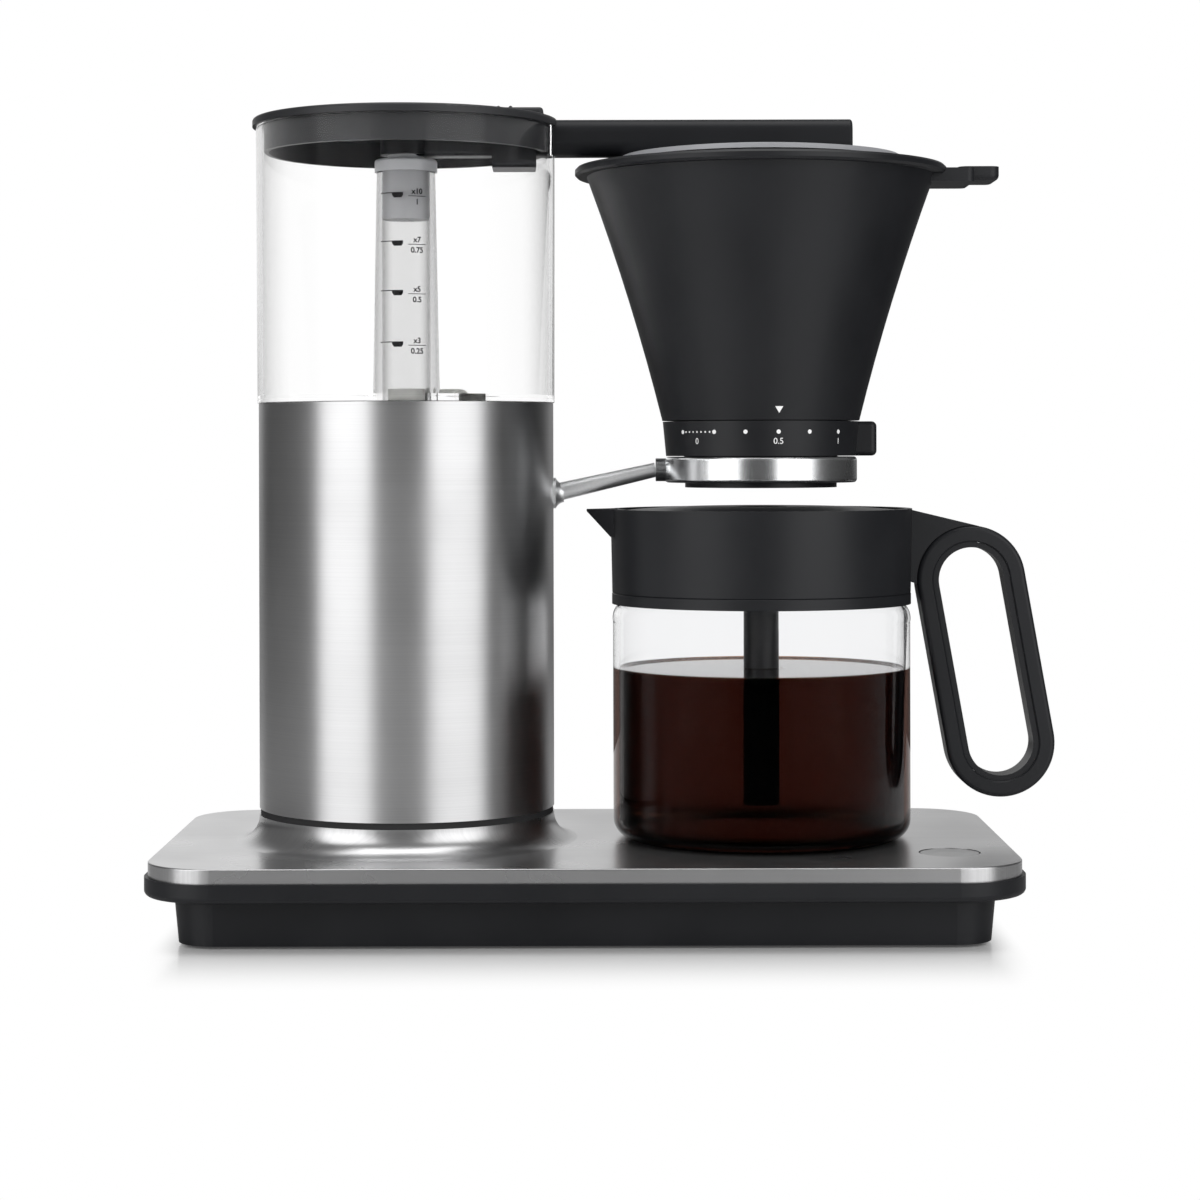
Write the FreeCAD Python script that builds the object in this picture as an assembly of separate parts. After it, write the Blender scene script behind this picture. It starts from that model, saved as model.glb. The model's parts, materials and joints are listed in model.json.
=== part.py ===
import FreeCAD, Part
import math
import os

# Drip coffee maker in millimetres, +Z up.
# Origin: middle of the outer box on the table. Tower on the left, jug and filter holder on the right.

# Base housing
LIP_LENGTH = 360.0
LIP_DEPTH = 190.0
LIP_CORNER = 30.0
LIP_HEIGHT = 7.9
LIP_ROUND = 2.5
SKIRT_HEIGHT = 19.1
SKIRT_INSET = 12.0
SKIRT_FILLET = 2.5
SKIRT_DRAFT = 2.0
HOUSING_WALL = 2.5
DECK = 2.5
DECK_MARGIN = 2.0
COVER_THICK = 2.2
FOOT_PROUD = 1.2
FOOT_R = 8.0
FOOT_STEM_R = 3.0
FOOT_CHAMFER = 0.5
FOOT_BARB_R = 4.2
FOOT_BARB = 2.0
FOOT_TIP_R = 2.0
FOOT_INSET = 35.0
SCREW_R = 1.25
SCREW_HEAD_R = 2.8
SCREW_HEAD = 1.3
SCREW_LENGTH = 12.0
SCREW_SPARE = 1.0
SCREW_INSET_X = 42.3
SCREW_INSET_Y = 23.0
BOSS_R = 4.0
VENT_COUNT = 7
VENT_PITCH = 9.0
VENT_LENGTH = 46.0
VENT_WIDTH = 3.0
VENT_CORNER = 1.4

# Cord entry at the back
GLAND_R = 5.5
GLAND_BORE_R = 3.6
GLAND_FLANGE_R = 7.0
GLAND_FLANGE = 2.0
GLAND_INSET = 60.0

# Steel top plate with its drawn collar
PLATE_INSET = 1.5
PLATE_RISE = 6.0
PLATE_ROUND = 0.6
SHEET = 1.0
COVE_FLARE = 10.0
COVE_HEIGHT = 11.5

# Layout of the two upright axes, seen from the middle of the base
TOWER_OFFSET = 77.0
AXIS_SPACING = 153.0

# Tower
TOWER_R = 63.4
SHELL_WALL = 1.0
SEAL_HEIGHT = 2.7
SEAL_INSET = 0.5
FOOT_RING_WALL = 2.0
FOOT_RING_RISE = 14.0
FOOT_RING_LAND = 6.0
SEAT_THICK = 4.0
SEAT_SKIRT = 12.0
SEAT_WALL = 2.0

# Water tank with its moulded centre tube
TANK_HEIGHT = 118.4
TANK_PROUD_TOP = 1.0
TANK_PROUD_BOTTOM = 0.5
TANK_WALL = 2.5
TANK_FLOOR = 3.0
TUBE_R = 12.6
TUBE_FOOT_R = 14.4
TUBE_BORE_R = 10.4
TUBE_DROP = 16.9
PLUG_LENGTH = 22.6
PLUG_BORE_R = 4.0
CAP_R = 13.5
CAP_HEIGHT = 5.4
CAP_LAP = 2.0
CAP_ROUND = 1.25
CAP_BOSS_R = 7.8
CAP_BOSS = 4.0
STRAINER_R = 8.0
STRAINER_HEIGHT = 3.5
STRAINER_CROWN_R = 4.0
STRAINER_BULGE = 0.7
TANK_PORT_R = 5.3

# Tank lid
LID_OVERHANG = 1.5
LID_EDGE = 3.6
LID_ROUND = 1.4
LID_SKIRT = 11.2
LID_SKIRT_WALL = 2.0
LID_SKIRT_GAP = 0.5
BUMP_LENGTH = 29.6
BUMP_INSET = 1.3
BUMP_HALF_WIDTH = 14.0
BUMP_RISE = 4.2
BUMP_WALL = 1.6
GRIP_COUNT = 3
GRIP_R = 0.8
GRIP_PITCH = 5.2
GRIP_INSET = 3.0

# Spray arm, its socket and the shower disc
ARM_HEIGHT = 15.6
ARM_WIDTH = 18.0
ARM_ROUND = 5.5
ARM_OVERHANG = 39.4
ARM_WALL = 2.0
ARM_INSET = 12.3
ARM_END_ROUND = 1.2
SPIGOT_LENGTH = 11.0
SOCKET_LENGTH = 18.6
SOCKET_INSET = 4.8
SOCKET_HALF_WIDTH = 12.0
SOCKET_DROP = 5.5
HUB_R_ARM = 11.0
DUCT_HALF_WIDTH = 7.0
DUCT_HEIGHT = 12.0
DUCT_BORE = 4.0
SHOWER_R = 60.0
SHOWER_RISE = 3.6
SHOWER_CROWN = 4.0
SHOWER_BOW = 1.0
SHOWER_WALL = 2.0
TROUGH_WALL = 1.5
SHOWER_NECK_R = 5.0
SHOWER_NECK = 4.0
SHOWER_HOLE_R = 1.4
SHOWER_HOLE_CIRCLE = 24.0
SHOWER_HOLES = 10

# Filter holder
CONE_HEIGHT = 105.2
CONE_R_TOP = 74.9
CONE_R_BOTTOM = 42.5
CONE_SAG = 1.6
CONE_WALL = 2.4
RIM_R = 80.0
RIM_HEIGHT = 3.9
RIM_ROUND = 1.0
RIB_COUNT = 8
RIB_WIDTH = 1.6
RIB_HEIGHT = 1.2
HUB_R = 30.8
HUB_FLOOR = 2.0
OUTLET_R = 4.0
OUTLET_OFFSET = 15.0
SEAL_RING_R = 7.0
SEAL_RING_HEIGHT = 1.0
RIVET_R = 2.4
RIVET_HEAD_R = 5.0
RIVET_HEAD = 1.2
TAB_REACH = 102.0
TAB_HEIGHT = 5.8
TAB_DROP = 1.6
TAB_HALF_WIDTH = 18.0
TAB_ROOT = 7.2
TAB_NECK_REACH = 90.5
TAB_CORNER = 3.0
KNOB_HALF_WIDTH = 12.0
KNOB_LAP = 6.0
KNOB_HEIGHT = 6.1
KNOB_RISE = 1.1
KNOB_CORNER = 4.0
KNOB_ROUND = 2.4

# Drip-stop dial under the cone
DIAL_HEIGHT = 14.8
DIAL_R_TOP = 42.3
DIAL_R_BOTTOM = 40.9
DIAL_WALL = 2.2
DIAL_WEB = 2.2
DIAL_SLEEVE = 2.0
CONE_GAP = 0.4
DIAL_GRIP_REACH = 49.7
DIAL_GRIP_HALF_WIDTH = 6.0
DIAL_GRIP_ROUND = 2.5
DIAL_GRIP_EDGE = 2.2
SPIGOT_DEPTH = 3.4
VALVE_THICK = 2.2
VALVE_SLOT_SWEEP = 58.0

# Filter ring on its rod
RING_HEIGHT = 11.1
RING_R = 41.4
RING_BORE_R = 36.8
RING_LIP = 2.2
RING_ROUND = 1.5
LINER_DROP = 2.1
LINER_FOOT_R = 32.7
LINER_BORE_R = 27.5
ROD_R_TOWER = 3.9
ROD_R_RING = 3.1
ROD_DROP = 10.0
ROD_BOSS_R = 5.0
ROD_BOSS = 4.0
ROSETTE_R = 6.6
ROSETTE_LENGTH = 4.5
ROSETTE_RIM = 1.0
ROSETTE_FLARE = 1.0
ROSETTE_ROOT = 2.0
STUD_R = 3.0
STUD_LENGTH = 14.0
SADDLE_THICK = 4.0
SADDLE_HALF_WIDTH = 12.0
NUT_R = 6.0
NUT_HEIGHT = 5.0

# Jug
JUG_R = 64.0
GLASS_HEIGHT = 100.5
GLASS_WALL = 2.5
GLASS_FLOOR = 3.0
GLASS_CORNER = 8.0
NECK_R = 61.4
NECK_SHOULDER = 8.0
NECK_RISE = 14.0
BAND_R = 64.4
BAND_HEIGHT = 5.0
BAND_SEAM = 0.6
COLLAR_R_TOP = 65.0
COLLAR_R_BOTTOM = 64.3
COLLAR_HEIGHT = 35.8
COLLAR_WALL = 2.4
SPOUT_REACH = 75.3
SPOUT_HALF_WIDTH = 17.0
SPOUT_DROP = 11.9
SPOUT_WALL = 1.8
SPOUT_TIP_DROP = 1.0
JUG_LID_CROWN = 1.0
JUG_LID_CROWN_R = 27.7
JUG_LID_BOW = 0.4
JUG_LID_EDGE = 4.0
JUG_LID_SKIRT = 9.0
JUG_LID_WALL = 2.0
DRIP_HOLE_R = 4.4
DRIP_FUNNEL_R = 12.0
MIX_TUBE_R = 7.6
MIX_TUBE_WALL = 1.6
MIX_TUBE_CLEAR = 12.0
MIX_HOLE_R = 3.0
MIX_HOLE_RISE = 9.0
HANDLE_R = 23.3
HANDLE_LINER_R = 16.4
HANDLE_GAP_R = 14.0
HANDLE_REACH = 90.0
HANDLE_LEAN = 12.4
HANDLE_LENGTH = 70.0
HANDLE_DROP = 30.8
HANDLE_THICK = 16.0
HANDLE_LINER_THICK = 14.4
HANDLE_ROUND = 2.0
HANDLE_SEAM = 0.6
BRIDGE_THICK = 14.0
BRIDGE_HEIGHT = 31.0

# Hotplate under the jug
HOTPLATE_R = 55.0
HOTPLATE_THICK = 3.0
ELEMENT_R = 3.5
ELEMENT_CIRCLE = 40.0
ELEMENT_SWEEP = 300.0
TERMINAL_LENGTH = 7.0
TERMINAL_R = 2.1
CLAMP_THICK = 2.0
CLAMP_WIDTH = 14.0
CLAMP_FOOT = 8.0
CLAMP_HOLE_R = 6.0
THERMOSTAT_R = 8.0
THERMOSTAT_HEIGHT = 5.0
THERMOSTAT_SINK = 2.0
SPADE_HALF_LENGTH = 2.5
SPADE_HALF_WIDTH = 2.0
SPADE_THICK = 0.8

# Power button, switch and board
BUTTON_INSET_X = 29.0
BUTTON_INSET_Y = 45.0
BUTTON_R = 12.5
BUTTON_CAP = 2.8
BUTTON_STEM_R = 3.0
BUTTON_SUNK = 0.2
BUTTON_DISH = 0.4
BUTTON_DISH_R = 6.25
GUIDE_WALL = 3.0
GUIDE_DEPTH = 6.4
GUIDE_FLOOR = 1.5
BOARD_LENGTH = 34.0
BOARD_DEPTH = 56.0
BOARD_SHIFT_X = -10.0
BOARD_SHIFT_Y = 16.0
BOARD_THICK = 1.6
STANDOFF = 6.0
STANDOFF_R = 3.0
SWITCH_SIZE = 10.0
SWITCH_HEIGHT = 5.0
SWITCH_WELL = 3.6
SWITCH_DIP = 1.0
BLOCK_LENGTH = 22.0
BLOCK_DEPTH = 12.0
BLOCK_HEIGHT = 10.0
BLOCK_PITCH = 7.0
BLOCK_HOLE_R = 2.0

# Flow heater in the tower
PORT_RADIUS = 30.8
PORT_ANGLE = 54.0
PIPE_R = 8.0
PIPE_BORE_R = 5.5
HEATER_OFFSET = 11.0
HEATER_R = 6.5
HEATER_ROD_R = 4.0
HEATER_PIN = 20.0
HOSE_WALL = 1.5
HOSE_LAP = 8.0
PLUMBING_RUN = 62.0
BRACKET_WIDTH = 24.0
BRACKET_THICK = 2.0
CRADLE_RISE = 10.0
CRADLE_LENGTH = 12.0
CHECK_R = 10.5
CHECK_CHAMBER_R = 6.5
CHECK_LENGTH = 22.0
CHECK_ROOF = 3.0
BALL_R = 4.5
BALL_SEAT_R = 3.5
CLAMP_RING_WIDTH = 4.0
CLAMP_RING_WALL = 1.0
CLAMP_RING_INSET = 1.0
FUSE_R = 2.0
FUSE_LENGTH = 20.0
NIPPLE_RISE = 6.0
NIPPLE_FLANGE = 4.0

# Clearances
RUN_GAP = 0.3
FIT_GAP = 0.1
JUG_STAND = 0.3
DRIP_GAP = 9.2
ARM_GAP = 5.0
SLOT_GAP = 0.6
TINY = 1e-4

# Places worked out from the driving sizes
RIGHT_REACH = AXIS_SPACING - TOWER_OFFSET + HANDLE_REACH + HANDLE_LEAN + HANDLE_R
BASE_X = (LIP_LENGTH / 2 - RIGHT_REACH) / 2
TOWER_X = BASE_X - TOWER_OFFSET
JUG_X = TOWER_X + AXIS_SPACING
POWER_X = BASE_X + LIP_LENGTH / 2 - BUTTON_INSET_X
POWER_Y = BUTTON_INSET_Y - LIP_DEPTH / 2

# Heights from the table up
SKIRT_Z = FOOT_PROUD
LIP_Z = SKIRT_Z + SKIRT_HEIGHT
DECK_TOP = LIP_Z + LIP_HEIGHT
DECK_Z = DECK_TOP - DECK
COVER_TOP = SKIRT_Z + COVER_THICK
PLATE_TOP = DECK_TOP + PLATE_RISE
SHEET_Z = PLATE_TOP - SHEET
COVE_TOP = PLATE_TOP + COVE_HEIGHT
SHELL_Z = COVE_TOP + SEAL_HEIGHT
GLASS_Z = PLATE_TOP + JUG_STAND
BAND_Z = GLASS_Z + GLASS_HEIGHT
COLLAR_Z = BAND_Z + BAND_HEIGHT
COLLAR_TOP = COLLAR_Z + COLLAR_HEIGHT
LINER_Z = COLLAR_TOP + DRIP_GAP
RING_Z = LINER_Z + LINER_DROP
RING_TOP = RING_Z + RING_HEIGHT
DIAL_Z = RING_TOP + RUN_GAP
DIAL_TOP = DIAL_Z + DIAL_HEIGHT
SPIGOT_Z = RING_TOP - SPIGOT_DEPTH
VALVE_Z = SPIGOT_Z + FIT_GAP
SEAL_RING_Z = VALVE_Z + VALVE_THICK + RUN_GAP
HUB_Z = SEAL_RING_Z + SEAL_RING_HEIGHT
CONE_Z = DIAL_TOP + CONE_GAP
RIM_Z = CONE_Z + CONE_HEIGHT
RIM_TOP = RIM_Z + RIM_HEIGHT
ARM_Z = RIM_TOP + ARM_GAP
ARM_TOP = ARM_Z + ARM_HEIGHT
TANK_RIM = ARM_Z + ARM_INSET
TANK_Z = TANK_RIM - TANK_HEIGHT
SHELL_TOP = TANK_Z - RUN_GAP
TANK_FLOOR_TOP = TANK_Z + TANK_FLOOR
TUBE_TOP = TANK_RIM - TUBE_DROP
CAP_Z = TUBE_TOP - CAP_LAP
CAP_TOP = CAP_Z + CAP_HEIGHT
LID_TOP = TANK_RIM + LID_EDGE
SEAT_Z = SHELL_TOP - SEAT_THICK
BOILER_TOP = SEAT_Z - PLUMBING_RUN
BRACKET_TOP = SHEET_Z + BRACKET_THICK
BOILER_Z = BRACKET_TOP + CRADLE_RISE
PORT_X = TOWER_X + PORT_RADIUS * math.cos(math.radians(PORT_ANGLE))
PORT_Y = PORT_RADIUS * math.sin(math.radians(PORT_ANGLE))
SLEEVE_BORE_R = HUB_R + RUN_GAP
SLEEVE_R = SLEEVE_BORE_R + DIAL_SLEEVE
SHELL_BORE_R = TOWER_R - SHELL_WALL
TANK_R_TOP = TOWER_R + TANK_PROUD_TOP
TANK_R_BOTTOM = TOWER_R + TANK_PROUD_BOTTOM
LID_R = TANK_R_TOP + LID_OVERHANG
LID_SKIRT_R = TANK_R_BOTTOM - TANK_WALL - LID_SKIRT_GAP
SOCKET_TO = LID_SKIRT_R - SOCKET_INSET
SOCKET_FROM = SOCKET_TO - SOCKET_LENGTH
BUMP_TO = LID_SKIRT_R - BUMP_INSET
BUMP_FROM = BUMP_TO - BUMP_LENGTH
ARM_END = AXIS_SPACING + ARM_OVERHANG
SHOWER_X = TOWER_X + AXIS_SPACING
BOARD_Z = COVER_TOP + STANDOFF
BOARD_X = POWER_X + BOARD_SHIFT_X
BOARD_Y = POWER_Y + BOARD_SHIFT_Y
SWITCH_TOP = BOARD_Z + BOARD_THICK + SWITCH_HEIGHT
GLAND_Z = (SKIRT_Z + LIP_Z) / 2
GLAND_X = BASE_X - LIP_LENGTH / 2 + GLAND_INSET
SKIRT_MID_INSET = SKIRT_INSET + SKIRT_DRAFT / 2
GLAND_WALL_Y = LIP_DEPTH / 2 - SKIRT_MID_INSET
HANDLE_TOP_X = JUG_X + HANDLE_REACH
HANDLE_TOP_Z = COLLAR_TOP - HANDLE_DROP
HANDLE_LOW_X = HANDLE_TOP_X + HANDLE_LEAN
HANDLE_LOW_Z = HANDLE_TOP_Z - HANDLE_LENGTH
ROD_RING_Z = RING_Z + RING_HEIGHT / 2
ROD_TOWER_Z = ROD_RING_Z - ROD_DROP


def vec(x, y, z):
    return FreeCAD.Vector(x, y, z)


def outline_face(steps):
    """Closed face in the XZ plane. A step is a point, or (middle, end) of an arc."""
    edges = []
    here = steps[0]
    for step in list(steps[1:]) + [steps[0]]:
        if isinstance(step[0], tuple):
            mid, end = step
            arc = Part.Arc(vec(here[0], 0, here[1]), vec(mid[0], 0, mid[1]), vec(end[0], 0, end[1]))
            edges.append(arc.toShape())
        else:
            end = step
            if math.dist(here, end) > TINY:
                edges.append(Part.makeLine(vec(here[0], 0, here[1]), vec(end[0], 0, end[1])))
        here = end
    return Part.Face(Part.Wire(edges))


def turned(x, y, steps, angle=360.0):
    """Revolve an (r, z) outline about the upright axis at x, y."""
    body = outline_face(steps).revolve(vec(0, 0, 0), vec(0, 0, 1), angle)
    return body.translated(vec(x, y, 0))


def plate_along_y(steps, y0, y1):
    """Extrude an (x, z) outline from y0 to y1."""
    return outline_face(steps).translated(vec(0, y0, 0)).extrude(vec(0, y1 - y0, 0))


def post(x, y, z0, z1, r):
    return Part.makeCylinder(r, z1 - z0, vec(x, y, z0))


def ring(x, y, z0, z1, r_out, r_in):
    return post(x, y, z0, z1, r_out).cut(post(x, y, z0, z1, r_in))


def along_y(x, z, y0, y1, r):
    return Part.makeCylinder(r, y1 - y0, vec(x, y0, z), vec(0, 1, 0))


def along_x(y, z, x0, x1, r):
    return Part.makeCylinder(r, x1 - x0, vec(x0, y, z), vec(1, 0, 0))


def box(x0, x1, y0, y1, z0, z1):
    return Part.makeBox(x1 - x0, y1 - y0, z1 - z0, vec(x0, y0, z0))


def bar(x0, x1, half_width, z0, z1, corner, end_round=0.0):
    """Bar along X with rounded long edges, and a rounded far end."""
    body = box(x0, x1, -half_width, half_width, z0, z1)
    body = body.makeFillet(corner, [e for e in body.Edges if e.BoundBox.XLength > x1 - x0 - TINY])
    if end_round:
        body = body.makeFillet(end_round, [e for e in body.Edges if e.BoundBox.XMin > x1 - TINY])
    return body


def rounded_wire(x, y, z, length, depth, corner):
    flat = Part.makePlane(length, depth, vec(x - length / 2, y - depth / 2, z))
    corners = flat.extrude(vec(0, 0, 1))
    corners = corners.makeFillet(corner, [e for e in corners.Edges if e.BoundBox.ZLength > TINY])
    base = min(corners.Faces, key=lambda f: f.CenterOfMass.z)
    return base.OuterWire


def slab(x, y, length, depth, corner, z0, z1):
    wire = rounded_wire(x, y, z0, length, depth, corner)
    return Part.Face(wire).extrude(vec(0, 0, z1 - z0))


def skirt_body(grow, z1):
    """Drafted skirt from its foot to z1, with its walls moved outward by grow."""
    low = SKIRT_INSET + SKIRT_DRAFT - grow
    high = SKIRT_INSET - grow
    wires = []
    for z, inset in ((SKIRT_Z, low), (z1, high)):
        length = LIP_LENGTH - 2 * inset
        depth = LIP_DEPTH - 2 * inset
        wires.append(rounded_wire(BASE_X, 0, z, length, depth, LIP_CORNER - inset))
    return Part.makeLoft(wires, True, True)


def edges_at(shape, z):
    return [e for e in shape.Edges if max(abs(e.BoundBox.ZMin - z), abs(e.BoundBox.ZMax - z)) < TINY]


def foot_places():
    half_x = LIP_LENGTH / 2 - FOOT_INSET
    half_y = LIP_DEPTH / 2 - FOOT_INSET
    return [(BASE_X + sx * half_x, sy * half_y) for sx in (-1, 1) for sy in (-1, 1)]


def screw_places():
    half_x = LIP_LENGTH / 2 - SCREW_INSET_X
    half_y = LIP_DEPTH / 2 - SCREW_INSET_Y
    return [(BASE_X + sx * half_x, sy * half_y) for sx in (-1, 0, 1) for sy in (-1, 1)]


def within_skirt(edge):
    """True for an edge nearer the middle than the round under the lip."""
    half_x = LIP_LENGTH / 2 - LIP_ROUND - TINY
    half_y = LIP_DEPTH / 2 - LIP_ROUND - TINY
    box = edge.BoundBox
    return max(box.XMax - BASE_X, BASE_X - box.XMin) < half_x and max(box.YMax, -box.YMin) < half_y


def base_housing():
    lip = slab(BASE_X, 0, LIP_LENGTH, LIP_DEPTH, LIP_CORNER, LIP_Z, DECK_TOP)
    lip = lip.makeFillet(LIP_ROUND, edges_at(lip, LIP_Z))
    body = lip.fuse(skirt_body(0, LIP_Z + LIP_ROUND))
    joint = [e for e in edges_at(body, LIP_Z) if within_skirt(e)]
    body = body.makeFillet(SKIRT_FILLET, joint)
    body = body.cut(skirt_body(-HOUSING_WALL, DECK_Z))
    for x, r in ((JUG_X, HOTPLATE_R + DECK_MARGIN), (TOWER_X, SHELL_BORE_R - FOOT_RING_LAND)):
        body = body.cut(post(x, 0, DECK_Z, DECK_TOP, r))
    body = body.cut(post(POWER_X, POWER_Y, DECK_Z, DECK_TOP, BUTTON_R + GUIDE_WALL + DECK_MARGIN))
    rib_r = HOTPLATE_R + DECK_MARGIN
    body = body.fuse(ring(JUG_X, 0, DECK_TOP, SHEET_Z, rib_r + HOUSING_WALL, rib_r))
    for x, y in screw_places():
        boss = post(x, y, COVER_TOP, DECK_Z, BOSS_R)
        body = body.fuse(boss.cut(post(x, y, COVER_TOP, COVER_TOP + SCREW_LENGTH, SCREW_R + FIT_GAP)))
    hole_y = GLAND_WALL_Y - 2 * HOUSING_WALL
    return body.cut(along_y(GLAND_X, GLAND_Z, hole_y, LIP_DEPTH / 2, GLAND_R + FIT_GAP)).removeSplitter()


def bottom_cover():
    inset = SKIRT_INSET + SKIRT_DRAFT + HOUSING_WALL + RUN_GAP
    length = LIP_LENGTH - 2 * inset
    depth = LIP_DEPTH - 2 * inset
    body = slab(BASE_X, 0, length, depth, LIP_CORNER - inset, SKIRT_Z, COVER_TOP)
    for x, y in screw_places():
        body = body.cut(post(x, y, SKIRT_Z, COVER_TOP, SCREW_R + FIT_GAP))
        body = body.cut(post(x, y, SKIRT_Z, SKIRT_Z + SCREW_HEAD, SCREW_HEAD_R + FIT_GAP))
    for x, y in foot_places():
        body = body.cut(post(x, y, SKIRT_Z, COVER_TOP, FOOT_STEM_R + FIT_GAP))
    for i in range(VENT_COUNT):
        x = JUG_X + (i - (VENT_COUNT - 1) / 2) * VENT_PITCH
        body = body.cut(slab(x, 0, VENT_WIDTH, VENT_LENGTH, VENT_CORNER, SKIRT_Z, COVER_TOP))
    for sx in (-1, 1):
        for sy in (-1, 1):
            x = BOARD_X + sx * (BOARD_LENGTH / 2 - STANDOFF_R)
            y = BOARD_Y + sy * (BOARD_DEPTH / 2 - STANDOFF_R)
            body = body.fuse(post(x, y, COVER_TOP, BOARD_Z, STANDOFF_R))
    return body


def rubber_feet():
    tip = COVER_TOP + FOOT_BARB
    profile = [(0, 0), (FOOT_R - FOOT_CHAMFER, 0), (FOOT_R, FOOT_PROUD), (FOOT_STEM_R, FOOT_PROUD),
               (FOOT_STEM_R, COVER_TOP), (FOOT_BARB_R, COVER_TOP), (FOOT_TIP_R, tip), (0, tip)]
    return Part.makeCompound([turned(x, y, profile) for x, y in foot_places()])


def bottom_screws():
    screws = []
    for x, y in screw_places():
        head = post(x, y, SKIRT_Z, SKIRT_Z + SCREW_HEAD, SCREW_HEAD_R)
        screws.append(head.fuse(post(x, y, SKIRT_Z, COVER_TOP + SCREW_LENGTH - SCREW_SPARE, SCREW_R)))
    return Part.makeCompound(screws)


def cord_gland():
    outer = GLAND_WALL_Y + SKIRT_DRAFT / 2
    inner = GLAND_WALL_Y - HOUSING_WALL - SKIRT_DRAFT / 2
    body = along_y(GLAND_X, GLAND_Z, inner, outer, GLAND_R)
    body = body.fuse(along_y(GLAND_X, GLAND_Z, outer, outer + GLAND_FLANGE, GLAND_FLANGE_R))
    body = body.fuse(along_y(GLAND_X, GLAND_Z, inner - GLAND_FLANGE, inner, GLAND_FLANGE_R))
    return body.cut(along_y(GLAND_X, GLAND_Z, inner - GLAND_FLANGE, outer + GLAND_FLANGE, GLAND_BORE_R))


def cove(r, z, flare, height):
    """Concave arc from the plate at r + flare up to the collar's neck at r."""
    mid = 1 - math.sqrt(0.5)
    return ((r + flare * mid, z + height * mid), (r, z + height))


def top_plate():
    length = LIP_LENGTH - 2 * PLATE_INSET
    depth = LIP_DEPTH - 2 * PLATE_INSET
    corner = LIP_CORNER - PLATE_INSET
    pan = slab(BASE_X, 0, length, depth, corner, DECK_TOP, PLATE_TOP)
    pan = pan.makeFillet(PLATE_ROUND, edges_at(pan, PLATE_TOP))
    pan = pan.cut(slab(BASE_X, 0, length - 2 * SHEET, depth - 2 * SHEET, corner - SHEET, DECK_TOP, SHEET_Z))
    pan = pan.cut(post(TOWER_X, 0, DECK_TOP, PLATE_TOP, TOWER_R + COVE_FLARE))
    pan = pan.cut(post(POWER_X, POWER_Y, DECK_TOP, PLATE_TOP, BUTTON_R + RUN_GAP))
    outer_mid, neck = cove(TOWER_R, PLATE_TOP, COVE_FLARE, COVE_HEIGHT)
    inner_mid, _ = cove(TOWER_R - SHEET, SHEET_Z, COVE_FLARE + SHEET, COVE_HEIGHT + SHEET)
    foot_r = TOWER_R + COVE_FLARE
    collar = turned(TOWER_X, 0, [
        (foot_r, PLATE_TOP), (outer_mid, neck), (TOWER_R - SHEET, COVE_TOP), (inner_mid, (foot_r, SHEET_Z))])
    return pan.fuse(collar).removeSplitter()


def tower_foot_ring():
    r_out = SHELL_BORE_R - RUN_GAP
    r_in = r_out - FOOT_RING_WALL
    flange_r = TOWER_R + COVE_FLARE - SHEET
    land_r = SHELL_BORE_R - FOOT_RING_LAND
    top = SHELL_Z + FOOT_RING_RISE
    return turned(TOWER_X, 0, [
        (land_r, DECK_TOP), (flange_r, DECK_TOP), (flange_r, SHEET_Z), (r_out, SHEET_Z),
        (r_out, top), (r_in, top), (r_in, SHEET_Z), (land_r, SHEET_Z)])


def tower_seal():
    return ring(TOWER_X, 0, COVE_TOP, SHELL_Z, TOWER_R - SEAL_INSET, SHELL_BORE_R)


def tower_shell():
    body = ring(TOWER_X, 0, SHELL_Z, SHELL_TOP, TOWER_R, SHELL_BORE_R)
    return body.cut(along_x(0, ROD_TOWER_Z, TOWER_X, TOWER_X + TOWER_R, STUD_R + FIT_GAP))


def tank_seat():
    r = SHELL_BORE_R - FIT_GAP
    body = post(TOWER_X, 0, SEAT_Z, SHELL_TOP, r)
    body = body.fuse(ring(TOWER_X, 0, SEAT_Z - SEAT_SKIRT, SEAT_Z, r, r - SEAT_WALL))
    body = body.fuse(post(PORT_X, PORT_Y, SEAT_Z - SEAT_SKIRT, SEAT_Z, PIPE_R))
    body = body.cut(post(PORT_X, PORT_Y, SEAT_Z - SEAT_SKIRT, SHELL_TOP, PIPE_BORE_R))
    body = body.cut(saddle_room(RUN_GAP))
    return body.cut(post(TOWER_X, 0, SEAT_Z, SHELL_TOP, PIPE_R + FIT_GAP))


def riser_nipple():
    top = TANK_Z + NIPPLE_RISE
    flange_r = PIPE_R + NIPPLE_FLANGE
    body = post(TOWER_X, 0, BOILER_TOP + HOSE_LAP, top, PIPE_R)
    body = body.fuse(post(TOWER_X, 0, SEAT_Z - SEAT_WALL, SEAT_Z, flange_r))
    return body.cut(post(TOWER_X, 0, BOILER_TOP, top, PIPE_BORE_R))


def water_tank():
    body = turned(TOWER_X, 0, [
        (TUBE_BORE_R, TANK_Z), (TANK_R_BOTTOM, TANK_Z), (TANK_R_TOP, TANK_RIM),
        (TANK_R_TOP - TANK_WALL, TANK_RIM), (TANK_R_BOTTOM - TANK_WALL, TANK_FLOOR_TOP),
        (TUBE_FOOT_R, TANK_FLOOR_TOP),
        (TUBE_R, CAP_Z), (TUBE_R, TUBE_TOP), (TUBE_BORE_R, TUBE_TOP)])
    body = body.cut(post(PORT_X, PORT_Y, TANK_Z, TANK_FLOOR_TOP, TANK_PORT_R))
    half = ARM_WIDTH / 2 + FIT_GAP
    return body.cut(box(TOWER_X, TOWER_X + LID_R, -half, half, ARM_Z - FIT_GAP, TANK_RIM))


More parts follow.
